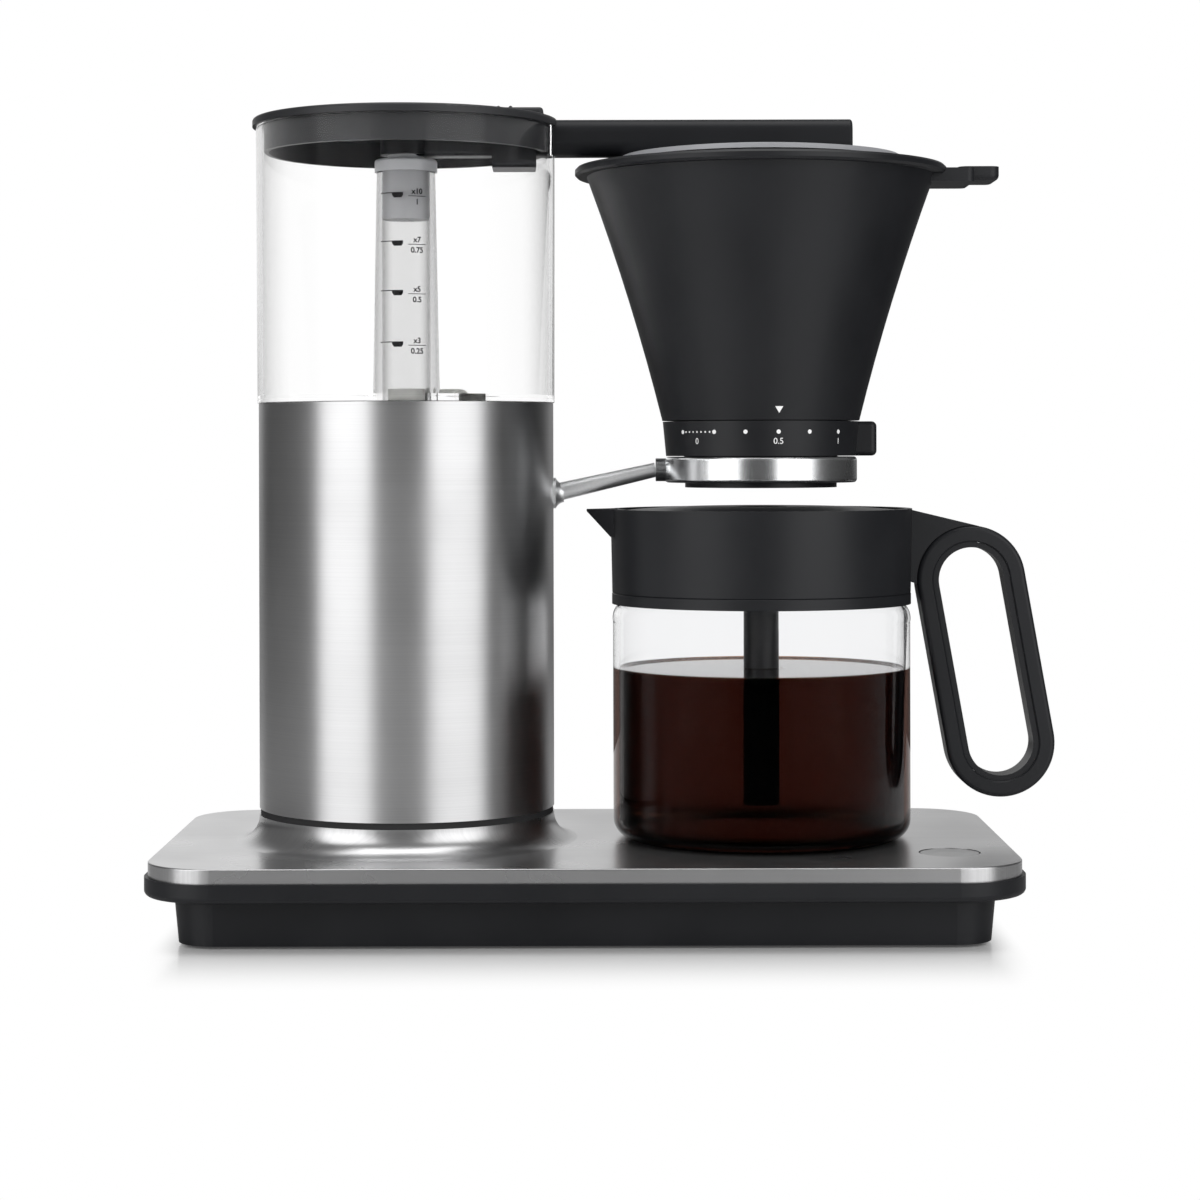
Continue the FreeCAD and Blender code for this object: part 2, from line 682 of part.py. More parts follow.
def tank_strainer():
    top = TANK_FLOOR_TOP + STRAINER_HEIGHT
    mid_r = (STRAINER_R + STRAINER_CROWN_R) / 2 + STRAINER_BULGE
    mid_z = (TANK_FLOOR_TOP + top) / 2 + STRAINER_BULGE
    dome = ((mid_r, mid_z), (STRAINER_CROWN_R, top))
    body = turned(PORT_X, PORT_Y, [(0, TANK_FLOOR_TOP), (STRAINER_R, TANK_FLOOR_TOP), dome, (0, top)])
    return body.fuse(post(PORT_X, PORT_Y, TANK_Z, TANK_FLOOR_TOP, TANK_PORT_R - FIT_GAP))


def riser_plug():
    return ring(TOWER_X, 0, TUBE_TOP - PLUG_LENGTH, TUBE_TOP, TUBE_BORE_R - FIT_GAP, PLUG_BORE_R)


def riser_cap():
    body = post(TOWER_X, 0, CAP_Z, CAP_TOP, CAP_R)
    body = body.makeFillet(CAP_ROUND, edges_at(body, CAP_TOP))
    body = body.cut(post(TOWER_X, 0, CAP_Z, TUBE_TOP, TUBE_R + FIT_GAP))
    body = body.fuse(post(TOWER_X, 0, CAP_TOP, CAP_TOP + CAP_BOSS, CAP_BOSS_R))
    return body.cut(post(TOWER_X, 0, CAP_Z, CAP_TOP + CAP_BOSS, PLUG_BORE_R))


def arm_section(x0, x1, inset, end_round=0.0):
    return bar(x0, x1, ARM_WIDTH / 2 - inset, ARM_Z + inset, ARM_TOP - inset, ARM_ROUND - inset, end_round)


def arm_socket():
    hub_z = CAP_TOP + CAP_BOSS / 2
    duct_top = TANK_RIM - RUN_GAP
    block_x = TOWER_X + SOCKET_FROM
    block_end = TOWER_X + SOCKET_TO
    hub = post(TOWER_X, 0, hub_z, duct_top, HUB_R_ARM)
    duct = bar(TOWER_X, block_x + ARM_WALL, DUCT_HALF_WIDTH, duct_top - DUCT_HEIGHT, duct_top, ARM_WALL)
    block = bar(block_x, block_end, SOCKET_HALF_WIDTH, ARM_Z - SOCKET_DROP, ARM_TOP, ARM_WALL)
    body = hub.fuse(duct).fuse(block)
    body = body.cut(post(TOWER_X, 0, CAP_TOP, CAP_TOP + CAP_BOSS, CAP_BOSS_R + FIT_GAP))
    bore_z = duct_top - DUCT_HEIGHT / 2
    body = body.cut(post(TOWER_X, 0, hub_z, bore_z, PLUG_BORE_R))
    body = body.cut(along_x(0, bore_z, TOWER_X, block_end, DUCT_BORE))
    pocket = arm_section(block_end - SPIGOT_LENGTH, block_end, ARM_WALL - FIT_GAP)
    return body.cut(pocket).removeSplitter()


def spray_arm():
    start = TOWER_X + SOCKET_TO
    end = TOWER_X + ARM_END
    body = arm_section(start, end, 0.0, ARM_END_ROUND)
    body = body.fuse(arm_section(start - SPIGOT_LENGTH + FIT_GAP, start + ARM_WALL, ARM_WALL))
    bore_end = SHOWER_X + 2 * SHOWER_NECK_R
    body = body.cut(arm_section(start - SPIGOT_LENGTH, bore_end, 2 * ARM_WALL))
    neck_hole = post(SHOWER_X, 0, ARM_Z, ARM_Z + ARM_HEIGHT / 2, SHOWER_NECK_R + FIT_GAP)
    return body.cut(neck_hole).removeSplitter()


def arm_channel(wall, top):
    """Trough across the shower disc that the arm lies in, with its sides and floor grown by wall."""
    half = ARM_WIDTH / 2 + FIT_GAP + wall
    end = TOWER_X + ARM_END + FIT_GAP + wall
    return box(SHOWER_X - SHOWER_R, end, -half, half, ARM_Z - FIT_GAP - wall, top)


def shower_disc():
    top = ARM_Z + SHOWER_RISE
    low = top - SHOWER_CROWN
    bow_z = top - SHOWER_BOW
    dome = ((SHOWER_R / 2, bow_z), (0, top))
    body = turned(SHOWER_X, 0, [
        (0, top - SHOWER_WALL), ((SHOWER_R / 2, bow_z - SHOWER_WALL), (SHOWER_R, low - SHOWER_WALL)),
        (SHOWER_R, low), dome])
    under = turned(SHOWER_X, 0, [
        (0, low - SHOWER_WALL), (SHOWER_R, low - SHOWER_WALL), (SHOWER_R, low), dome])
    body = body.fuse(under.common(arm_channel(TROUGH_WALL, top)))
    body = body.cut(arm_channel(0, top))
    neck_z = ARM_Z - FIT_GAP - TROUGH_WALL
    neck_top = ARM_Z + SHOWER_NECK
    body = body.fuse(post(SHOWER_X, 0, neck_z, neck_top, SHOWER_NECK_R))
    body = body.cut(post(SHOWER_X, 0, neck_z, neck_top, SHOWER_NECK_R - ARM_WALL))
    for i in range(SHOWER_HOLES):
        angle = 2 * math.pi * i / SHOWER_HOLES
        x = SHOWER_X + SHOWER_HOLE_CIRCLE * math.cos(angle)
        y = SHOWER_HOLE_CIRCLE * math.sin(angle)
        body = body.cut(post(x, y, low - SHOWER_WALL, top, SHOWER_HOLE_R))
    return body


def tank_lid():
    skirt_z = TANK_RIM - LID_SKIRT
    lid_z = TANK_RIM + FIT_GAP
    body = post(TOWER_X, 0, lid_z, LID_TOP, LID_R)
    body = body.makeFillet(LID_ROUND, edges_at(body, LID_TOP))
    body = body.fuse(ring(TOWER_X, 0, skirt_z, lid_z, LID_SKIRT_R, LID_SKIRT_R - LID_SKIRT_WALL))
    bump_x = TOWER_X + BUMP_FROM
    bump_top = LID_TOP + BUMP_RISE
    body = body.fuse(bar(bump_x, TOWER_X + BUMP_TO, BUMP_HALF_WIDTH, lid_z, bump_top, BUMP_WALL, BUMP_WALL))
    grip_half = BUMP_HALF_WIDTH - GRIP_INSET
    for i in range(GRIP_COUNT):
        body = body.fuse(along_y(bump_x + (i + 1) * GRIP_PITCH, bump_top, -grip_half, grip_half, GRIP_R))
    pocket_half = SOCKET_HALF_WIDTH + SLOT_GAP
    pocket_from = TOWER_X + SOCKET_FROM - SLOT_GAP
    pocket_to = TOWER_X + SOCKET_TO + SLOT_GAP
    roof = ARM_TOP + SLOT_GAP
    body = body.cut(box(pocket_from, pocket_to, -pocket_half, pocket_half, skirt_z, roof))
    slot_half = ARM_WIDTH / 2 + SLOT_GAP
    body = body.cut(box(pocket_to - SLOT_GAP, TOWER_X + LID_R, -slot_half, slot_half, skirt_z, roof))
    return body.removeSplitter()


def cone_profile(shrink, z0, z1):
    """Middle and end of the flared cone line, drawn in by shrink."""
    mid = ((CONE_R_TOP + CONE_R_BOTTOM) / 2 - CONE_SAG - shrink, (CONE_Z + RIM_Z) / 2)
    return (CONE_R_BOTTOM - shrink, z0), mid, (CONE_R_TOP - shrink, z1)


def filter_cone():
    low, mid, high = cone_profile(0, CONE_Z, RIM_Z)
    low_in, mid_in, high_in = cone_profile(CONE_WALL, CONE_Z + HUB_FLOOR, RIM_TOP)
    hub_in = HUB_R - CONE_WALL
    body = turned(JUG_X, 0, [
        (0, HUB_Z), (HUB_R, HUB_Z), (HUB_R, CONE_Z), low, (mid, high), (RIM_R - RIM_ROUND, RIM_Z),
        (RIM_R, RIM_Z + RIM_ROUND), (RIM_R, RIM_TOP - RIM_ROUND), (RIM_R - RIM_ROUND, RIM_TOP), high_in,
        (mid_in, low_in), (hub_in, CONE_Z + HUB_FLOOR), (hub_in, HUB_Z + HUB_FLOOR), (0, HUB_Z + HUB_FLOOR)])
    low_rib, mid_rib, high_rib = cone_profile(CONE_WALL + RIB_HEIGHT, CONE_Z + HUB_FLOOR, RIM_Z)
    low_wall, mid_wall, high_wall = cone_profile(CONE_WALL / 2, CONE_Z + HUB_FLOOR, RIM_Z)
    rib_ring = turned(JUG_X, 0, [low_rib, low_wall, (mid_wall, high_wall), high_rib, (mid_rib, low_rib)])
    for i in range(RIB_COUNT):
        blade = box(0, RIM_R, -RIB_WIDTH / 2, RIB_WIDTH / 2, CONE_Z, RIM_Z)
        blade.rotate(vec(0, 0, 0), vec(0, 0, 1), (i + 0.5) * 360.0 / RIB_COUNT)
        body = body.fuse(rib_ring.common(blade.translated(vec(JUG_X, 0, 0))))
    return body.fuse(holder_tab()).cut(valve_holes(HUB_Z, HUB_Z + HUB_FLOOR)).removeSplitter()


def holder_tab():
    """Flat neck at the rim with a narrower rounded knob at its end."""
    neck_z = RIM_TOP - TAB_DROP - TAB_HEIGHT
    neck_x = JUG_X + CONE_R_TOP - TAB_ROOT
    neck_end = JUG_X + TAB_NECK_REACH
    neck = box(neck_x, neck_end, -TAB_HALF_WIDTH, TAB_HALF_WIDTH, neck_z, neck_z + TAB_HEIGHT)
    corners = [e for e in neck.Edges if e.BoundBox.XMin > neck_end - TINY and e.BoundBox.ZLength > TINY]
    neck = neck.makeFillet(TAB_CORNER, corners)
    knob_top = RIM_TOP - TAB_DROP + KNOB_RISE
    knob_z = knob_top - KNOB_HEIGHT
    knob_x = neck_end - KNOB_LAP
    length = JUG_X + TAB_REACH - knob_x
    knob = slab(knob_x + length / 2, 0, length, 2 * KNOB_HALF_WIDTH, KNOB_CORNER, knob_z, knob_top)
    knob = knob.makeFillet(KNOB_ROUND, edges_at(knob, knob_z))
    inside = turned(JUG_X, 0, [(0, CONE_Z), cone_profile(CONE_WALL / 2, CONE_Z, RIM_TOP)[2], (0, RIM_TOP)])
    return neck.fuse(knob).cut(inside)


def valve_holes(z0, z1):
    outlet = post(JUG_X, -OUTLET_OFFSET, z0, z1, OUTLET_R)
    return outlet.fuse(post(JUG_X, 0, z0, z1, RIVET_R + FIT_GAP))


def hub_seal():
    return ring(JUG_X, -OUTLET_OFFSET, SEAL_RING_Z, HUB_Z, SEAL_RING_R, OUTLET_R)


def valve_rivet():
    head_z = VALVE_Z - RUN_GAP - RIVET_HEAD
    top = HUB_Z + HUB_FLOOR
    body = post(JUG_X, 0, head_z, head_z + RIVET_HEAD, RIVET_HEAD_R)
    body = body.fuse(post(JUG_X, 0, head_z, top, RIVET_R))
    return body.fuse(post(JUG_X, 0, top, top + RIVET_HEAD, RIVET_HEAD_R))


def drip_dial():
    body = turned(JUG_X, 0, [
        (SLEEVE_BORE_R, SPIGOT_Z), (SLEEVE_R, SPIGOT_Z), (SLEEVE_R, DIAL_Z), (DIAL_R_BOTTOM, DIAL_Z),
        (DIAL_R_TOP, DIAL_TOP), (DIAL_R_TOP - DIAL_WALL, DIAL_TOP),
        (DIAL_R_BOTTOM - DIAL_WALL, DIAL_Z + DIAL_WEB), (SLEEVE_R, DIAL_Z + DIAL_WEB),
        (SLEEVE_R, DIAL_TOP), (SLEEVE_BORE_R, DIAL_TOP)])
    grip_x = JUG_X + DIAL_GRIP_REACH / 2
    grip_width = 2 * DIAL_GRIP_HALF_WIDTH
    grip = slab(grip_x, 0, DIAL_GRIP_REACH, grip_width, DIAL_GRIP_ROUND, DIAL_Z, DIAL_TOP)
    grip = grip.makeFillet(DIAL_GRIP_EDGE, edges_at(grip, DIAL_Z) + edges_at(grip, DIAL_TOP))
    inside = post(JUG_X, 0, DIAL_Z, DIAL_TOP, DIAL_R_BOTTOM - DIAL_WALL / 2)
    return body.fuse(grip.cut(inside)).removeSplitter()


def valve_disc():
    top = VALVE_Z + VALVE_THICK
    body = ring(JUG_X, 0, VALVE_Z, top, SLEEVE_BORE_R - FIT_GAP, RIVET_R + RUN_GAP)
    r_in = OUTLET_OFFSET - OUTLET_R
    r_out = OUTLET_OFFSET + OUTLET_R
    slot = turned(0, 0, [(r_in, VALVE_Z), (r_out, VALVE_Z), (r_out, top), (r_in, top)], VALVE_SLOT_SWEEP)
    slot.rotate(vec(0, 0, 0), vec(0, 0, 1), -90.0)
    return body.cut(slot.translated(vec(JUG_X, 0, 0)))


def filter_ring():
    body = post(JUG_X, 0, RING_Z, RING_TOP, RING_R)
    body = body.makeFillet(RING_ROUND, edges_at(body, RING_Z) + edges_at(body, RING_TOP))
    body = body.cut(post(JUG_X, 0, RING_Z + RING_LIP, RING_TOP, RING_BORE_R))
    body = body.cut(post(JUG_X, 0, RING_Z, RING_TOP, LINER_FOOT_R + FIT_GAP))
    boss = along_x(0, ROD_RING_Z, JUG_X - RING_R - ROD_BOSS, JUG_X - RING_BORE_R, ROD_BOSS_R)
    return body.fuse(boss.cut(post(JUG_X, 0, RING_Z, RING_TOP, RING_BORE_R))).removeSplitter()


def ring_liner():
    ledge = SPIGOT_Z - RUN_GAP
    recess_r = SLEEVE_R + RUN_GAP
    shoulder = RING_Z + RING_LIP
    rim_r = RING_BORE_R - FIT_GAP
    return turned(JUG_X, 0, [
        (LINER_BORE_R, LINER_Z), (LINER_FOOT_R, LINER_Z), (LINER_FOOT_R, shoulder), (rim_r, shoulder),
        (rim_r, RING_TOP), (recess_r, RING_TOP), (recess_r, ledge), (LINER_BORE_R, ledge)])


def ring_arm():
    start = vec(TOWER_X + TOWER_R, 0, ROD_TOWER_Z)
    end = vec(JUG_X - RING_R - ROD_BOSS, 0, ROD_RING_Z)
    rod = Part.makeCone(ROD_R_TOWER, ROD_R_RING, start.distanceToPoint(end), start, end - start)
    inner = TOWER_X + SHELL_BORE_R
    flare = (ROD_R_TOWER + ROSETTE_FLARE, ROSETTE_LENGTH / 2)
    rosette = outline_face([
        (0, -ROSETTE_ROOT), (ROSETTE_R, -ROSETTE_ROOT), (ROSETTE_R, ROSETTE_RIM),
        (flare, (ROD_R_TOWER, ROSETTE_LENGTH)), (0, ROSETTE_LENGTH)])
    rosette = rosette.revolve(vec(0, 0, 0), vec(0, 0, 1), 360)
    rosette.rotate(vec(0, 0, 0), vec(0, 1, 0), 90)
    body = rod.fuse(rosette.translated(start)).cut(post(TOWER_X, 0, SHELL_Z, SHELL_TOP, TOWER_R))
    body = body.cut(box(end.x, end.x + RING_R, -RING_R, RING_R, RING_Z, RING_TOP))
    stud = along_x(0, ROD_TOWER_Z, inner - STUD_LENGTH, TOWER_X + TOWER_R + ROSETTE_RIM, STUD_R)
    return body.fuse(stud).removeSplitter()


def saddle_room(gap):
    """Block behind the rod that the saddle fills, grown by gap."""
    inner = TOWER_X + SHELL_BORE_R
    half = SADDLE_HALF_WIDTH + gap
    low = inner - 2 * SADDLE_THICK - gap
    return box(low, inner, -half, half, ROD_TOWER_Z - half, ROD_TOWER_Z + half)


def arm_saddle():
    inner = TOWER_X + SHELL_BORE_R
    body = saddle_room(0).common(post(TOWER_X, 0, SHELL_Z, SHELL_TOP, SHELL_BORE_R - FIT_GAP))
    return body.cut(along_x(0, ROD_TOWER_Z, inner - STUD_LENGTH, inner, STUD_R + FIT_GAP))


def arm_nut():
    face = TOWER_X + SHELL_BORE_R - 2 * SADDLE_THICK
    points = [vec(0, NUT_R * math.cos(i * math.pi / 3), NUT_R * math.sin(i * math.pi / 3)) for i in range(6)]
    hexagon = Part.Face(Part.makePolygon(points + points[:1]))
    body = hexagon.translated(vec(face - NUT_HEIGHT, 0, ROD_TOWER_Z)).extrude(vec(NUT_HEIGHT, 0, 0))
    return body.cut(along_x(0, ROD_TOWER_Z, face - NUT_HEIGHT, face, STUD_R + FIT_GAP))


def arc_mid(cx, cz, r, degrees):
    return cx + r * math.cos(math.radians(degrees)), cz + r * math.sin(math.radians(degrees))


def jug_glass():
    floor = GLASS_Z + GLASS_FLOOR
    neck_top = COLLAR_Z + NECK_RISE
    inner_corner = GLASS_CORNER - GLASS_WALL
    inner_r = JUG_R - GLASS_WALL
    neck_in = NECK_R - GLASS_WALL
    shoulder = BAND_Z - NECK_SHOULDER
    bow = 1 - math.sqrt(0.5)
    bow_in = (JUG_R - NECK_R) * bow
    bow_z = BAND_Z - NECK_SHOULDER * bow
    corner_x = JUG_R - GLASS_CORNER
    return turned(JUG_X, 0, [
        (0, GLASS_Z), (corner_x, GLASS_Z),
        (arc_mid(corner_x, GLASS_Z + GLASS_CORNER, GLASS_CORNER, -45), (JUG_R, GLASS_Z + GLASS_CORNER)),
        (JUG_R, shoulder), ((JUG_R - bow_in, bow_z), (NECK_R, BAND_Z)), (NECK_R, neck_top),
        (neck_in, neck_top), (neck_in, BAND_Z), ((inner_r - bow_in, bow_z), (inner_r, shoulder)),
        (inner_r, floor + inner_corner),
        (arc_mid(inner_r - inner_corner, floor + inner_corner, inner_corner, -45),
         (inner_r - inner_corner, floor)), (0, floor)])


def jug_band():
    r_in = NECK_R + FIT_GAP
    seam_r = BAND_R - BAND_SEAM
    return turned(JUG_X, 0, [
        (r_in, BAND_Z), (BAND_R, BAND_Z), (BAND_R, COLLAR_Z - BAND_SEAM),
        (seam_r, COLLAR_Z), (r_in, COLLAR_Z)])


def jug_seal():
    return ring(JUG_X, 0, COLLAR_Z, COLLAR_Z + NECK_RISE, COLLAR_R_BOTTOM - COLLAR_WALL, NECK_R + FIT_GAP)


def spout_wedge(shrink):
    """Pouring lip: a pointed plan cut by a sloping underside, drawn in by shrink."""
    reach = SPOUT_REACH - 2 * shrink
    half = SPOUT_HALF_WIDTH - shrink
    root = COLLAR_R_BOTTOM - COLLAR_WALL
    low = COLLAR_TOP - SPOUT_DROP + shrink
    side = plate_along_y([(JUG_X - root, low - shrink), (JUG_X - COLLAR_R_TOP, low),
                          (JUG_X - reach, COLLAR_TOP - SPOUT_TIP_DROP), (JUG_X - reach, COLLAR_TOP),
                          (JUG_X - root, COLLAR_TOP)], -half, half)
    root_half = math.sqrt(root * root - half * half)
    plan = Part.Face(Part.makePolygon([vec(JUG_X - root_half, -half, 0), vec(JUG_X - reach, 0, 0),
                                       vec(JUG_X - root_half, half, 0), vec(JUG_X - root_half, -half, 0)]))
    return side.common(plan.translated(vec(0, 0, COLLAR_Z)).extrude(vec(0, 0, COLLAR_HEIGHT)))


def jug_collar():
    body = turned(JUG_X, 0, [
        (COLLAR_R_BOTTOM - COLLAR_WALL, COLLAR_Z), (COLLAR_R_BOTTOM, COLLAR_Z), (COLLAR_R_TOP, COLLAR_TOP),
        (COLLAR_R_BOTTOM - COLLAR_WALL, COLLAR_TOP)])
    bridge = handle_bridge().cut(post(JUG_X, 0, COLLAR_Z, COLLAR_TOP, COLLAR_R_BOTTOM - COLLAR_WALL / 2))
    body = body.fuse(spout_wedge(0)).fuse(bridge.cut(handle_loop(HANDLE_R + FIT_GAP, HANDLE_THICK)))
    channel_z = COLLAR_TOP - JUG_LID_SKIRT - RUN_GAP
    channel_room = box(JUG_X - SPOUT_REACH, JUG_X, -JUG_R, JUG_R, channel_z, COLLAR_TOP)
    return body.cut(spout_wedge(SPOUT_WALL).common(channel_room)).removeSplitter()


def handle_bridge():
    """Web from the collar to the grip, its top edge straight and tangent to the grip."""
    foot = COLLAR_TOP - BRIDGE_HEIGHT
    root = JUG_X + COLLAR_R_BOTTOM - COLLAR_WALL
    reach = math.dist((root, COLLAR_TOP), (HANDLE_TOP_X, HANDLE_TOP_Z))
    fall = math.atan2(HANDLE_TOP_Z - COLLAR_TOP, HANDLE_TOP_X - root)
    slope = math.degrees(fall + math.asin(HANDLE_R / reach))
    touch = arc_mid(HANDLE_TOP_X, HANDLE_TOP_Z, HANDLE_R, slope + 90)
    low = (HANDLE_TOP_X - HANDLE_R + HANDLE_ROUND, foot - HANDLE_ROUND)
    steps = [(root, foot), (root, COLLAR_TOP), touch, (HANDLE_TOP_X, HANDLE_TOP_Z), low]
    return plate_along_y(steps, -BRIDGE_THICK / 2, BRIDGE_THICK / 2)


def handle_loop(r, thick):
    """Leaning stadium about the two grip centres."""
    dx = HANDLE_LOW_X - HANDLE_TOP_X
    dz = HANDLE_LOW_Z - HANDLE_TOP_Z
    length = math.hypot(dx, dz)
    ux, uz = dx / length * r, dz / length * r
    nx, nz = -uz, ux
    steps = [(HANDLE_TOP_X + nx, HANDLE_TOP_Z + nz), (HANDLE_LOW_X + nx, HANDLE_LOW_Z + nz),
             ((HANDLE_LOW_X + ux, HANDLE_LOW_Z + uz), (HANDLE_LOW_X - nx, HANDLE_LOW_Z - nz)),
             (HANDLE_TOP_X - nx, HANDLE_TOP_Z - nz),
             ((HANDLE_TOP_X - ux, HANDLE_TOP_Z - uz), (HANDLE_TOP_X + nx, HANDLE_TOP_Z + nz))]
    return plate_along_y(steps, -thick / 2, thick / 2)


def face_edges(shape, half):
    return [e for e in shape.Edges if abs(abs(e.CenterOfMass.y) - half) < TINY]


def jug_handle():
    body = handle_loop(HANDLE_R, HANDLE_THICK)
    body = body.makeFillet(HANDLE_ROUND, face_edges(body, HANDLE_THICK / 2))
    opening = handle_loop(HANDLE_LINER_R, HANDLE_THICK)
    body = body.cut(opening)
    room = opening.BoundBox
    room.enlarge(TINY)
    seam = [e for e in face_edges(body, HANDLE_THICK / 2) if room.isInside(e.BoundBox)]
    return body.makeChamfer(HANDLE_SEAM, seam)


def handle_liner():
    body = handle_loop(HANDLE_LINER_R - FIT_GAP, HANDLE_LINER_THICK)
    return body.cut(handle_loop(HANDLE_GAP_R, HANDLE_LINER_THICK))


def jug_lid():
    r = COLLAR_R_BOTTOM - COLLAR_WALL - RUN_GAP
    low = COLLAR_TOP - JUG_LID_SKIRT
    crown = COLLAR_TOP + JUG_LID_CROWN
    under = COLLAR_TOP - JUG_LID_EDGE
    bow = ((r + JUG_LID_CROWN_R) / 2, COLLAR_TOP + JUG_LID_BOW)
    body = turned(JUG_X, 0, [
        (DRIP_HOLE_R, under), (r - JUG_LID_WALL, under), (r - JUG_LID_WALL, low), (r, low),
        (r, COLLAR_TOP - JUG_LID_WALL / 2), (bow, (JUG_LID_CROWN_R, crown)), (DRIP_FUNNEL_R, crown),
        (DRIP_HOLE_R, COLLAR_TOP - JUG_LID_WALL)])
    neck = ring(JUG_X, 0, low, under, MIX_TUBE_R - MIX_TUBE_WALL - FIT_GAP, DRIP_HOLE_R)
    pour_half = SPOUT_HALF_WIDTH / 2
    pour = box(JUG_X - COLLAR_R_TOP, JUG_X - r + 2 * JUG_LID_WALL, -pour_half, pour_half, low, under)
    return body.fuse(neck).cut(pour).removeSplitter()


def mixing_tube():
    top = COLLAR_TOP - JUG_LID_EDGE
    low = GLASS_Z + GLASS_FLOOR + MIX_TUBE_CLEAR
    body = ring(JUG_X, 0, low, top, MIX_TUBE_R, MIX_TUBE_R - MIX_TUBE_WALL)
    hole_z = low + MIX_HOLE_RISE
    body = body.cut(along_y(JUG_X, hole_z, -JUG_R / 2, JUG_R / 2, MIX_HOLE_R))
    return body.cut(along_x(0, hole_z, JUG_X - JUG_R / 2, JUG_X + JUG_R / 2, MIX_HOLE_R))


def hotplate_disc():
    return post(JUG_X, 0, SHEET_Z - HOTPLATE_THICK, SHEET_Z, HOTPLATE_R)


def hotplate_element():
    z = SHEET_Z - HOTPLATE_THICK - ELEMENT_R
    circle = Part.Face(Part.Wire(Part.makeCircle(ELEMENT_R, vec(ELEMENT_CIRCLE, 0, z), vec(0, 1, 0))))
    body = circle.revolve(vec(0, 0, 0), vec(0, 0, 1), ELEMENT_SWEEP)
    body.rotate(vec(0, 0, 0), vec(0, 0, 1), -ELEMENT_SWEEP / 2)
    for sign in (-1, 1):
        angle = sign * math.radians(ELEMENT_SWEEP / 2)
        x = ELEMENT_CIRCLE * math.cos(angle)
        y = ELEMENT_CIRCLE * math.sin(angle)
        body = body.fuse(post(x, y, z - ELEMENT_R - TERMINAL_LENGTH, z, TERMINAL_R))
    return body.translated(vec(JUG_X, 0, 0))


def hotplate_clamp():
    top = SHEET_Z - HOTPLATE_THICK - 2 * ELEMENT_R
    reach = HOTPLATE_R + DECK_MARGIN + CLAMP_FOOT
    half = CLAMP_WIDTH / 2
    body = box(JUG_X - half, JUG_X + half, -reach, reach, top - CLAMP_THICK, top)
    for sign in (-1, 1):
        y0, y1 = sorted((sign * (reach - CLAMP_FOOT), sign * reach))
        body = body.fuse(box(JUG_X - half, JUG_X + half, y0, y1, top - CLAMP_THICK, DECK_Z))
    return body.cut(post(JUG_X, 0, top - CLAMP_THICK, top, CLAMP_HOLE_R))


def hotplate_thermostat():
    top = SHEET_Z - HOTPLATE_THICK
    low = top - THERMOSTAT_HEIGHT
    body = post(JUG_X, 0, low, top, THERMOSTAT_R)
    half = SPADE_HALF_LENGTH
    for sign in (-1, 1):
        x = JUG_X + sign * THERMOSTAT_R
        body = body.fuse(box(x - half, x + half, -SPADE_HALF_WIDTH, SPADE_HALF_WIDTH, low, low + SPADE_THICK))
    return body


def button_guide():
    r_in = BUTTON_R + RUN_GAP
    r_out = r_in + GUIDE_WALL
    low = SHEET_Z - GUIDE_DEPTH
    body = ring(POWER_X, POWER_Y, low, SHEET_Z, r_out, r_in)
    floor = ring(POWER_X, POWER_Y, low, low + GUIDE_FLOOR, r_in, BUTTON_STEM_R + RUN_GAP)
    return body.fuse(floor).removeSplitter()


def power_button():
    top = PLATE_TOP - BUTTON_SUNK
    low = top - BUTTON_CAP
    dish_z = top - BUTTON_DISH
    body = turned(POWER_X, POWER_Y, [
        (0, low), (BUTTON_R, low), (BUTTON_R, dish_z), (BUTTON_R - BUTTON_DISH, top),
        (BUTTON_DISH_R, dish_z), (0, dish_z)])
    return body.fuse(post(POWER_X, POWER_Y, SWITCH_TOP - SWITCH_DIP, low, BUTTON_STEM_R)).removeSplitter()


def micro_switch():
    half = SWITCH_SIZE / 2
    z = BOARD_Z + BOARD_THICK
    x, y = POWER_X, POWER_Y
    body = box(x - half, x + half, y - half, y + half, z, SWITCH_TOP)
    return body.cut(post(x, y, SWITCH_TOP - SWITCH_WELL, SWITCH_TOP, BUTTON_STEM_R + RUN_GAP))


def control_board():
    return slab(BOARD_X, BOARD_Y, BOARD_LENGTH, BOARD_DEPTH, STANDOFF_R, BOARD_Z, BOARD_Z + BOARD_THICK)


def terminal_block():
    half_x = BLOCK_LENGTH / 2
    half_y = BLOCK_DEPTH / 2
    y = GLAND_WALL_Y - HOUSING_WALL - 2 * GLAND_FLANGE - BLOCK_DEPTH
    top = COVER_TOP + BLOCK_HEIGHT
    body = box(GLAND_X - half_x, GLAND_X + half_x, y - half_y, y + half_y, COVER_TOP, top)
    for sx in (-1, 0, 1):
        body = body.cut(post(GLAND_X + sx * BLOCK_PITCH, y, top - BLOCK_HEIGHT / 2, top, BLOCK_HOLE_R))
    return body


def u_pipe(r, side, extra):
    """U of round section between the riser and the cold port, shifted sideways by side."""
    bend = PORT_RADIUS / 2
    low = BOILER_Z + PIPE_R + bend
    top = BOILER_TOP + extra
    circle = Part.Face(Part.Wire(Part.makeCircle(r, vec(-bend, 0, 0), vec(0, 0, 1))))
    curve = circle.revolve(vec(0, 0, 0), vec(0, -1, 0), 180).translated(vec(bend, side, low))
    body = curve.fuse(post(0, side, low, top, r)).fuse(post(PORT_RADIUS, side, low, top, r))
    body = body.removeSplitter()
    body.rotate(vec(0, 0, 0), vec(0, 0, 1), PORT_ANGLE)
    return body.translated(vec(TOWER_X, 0, 0))


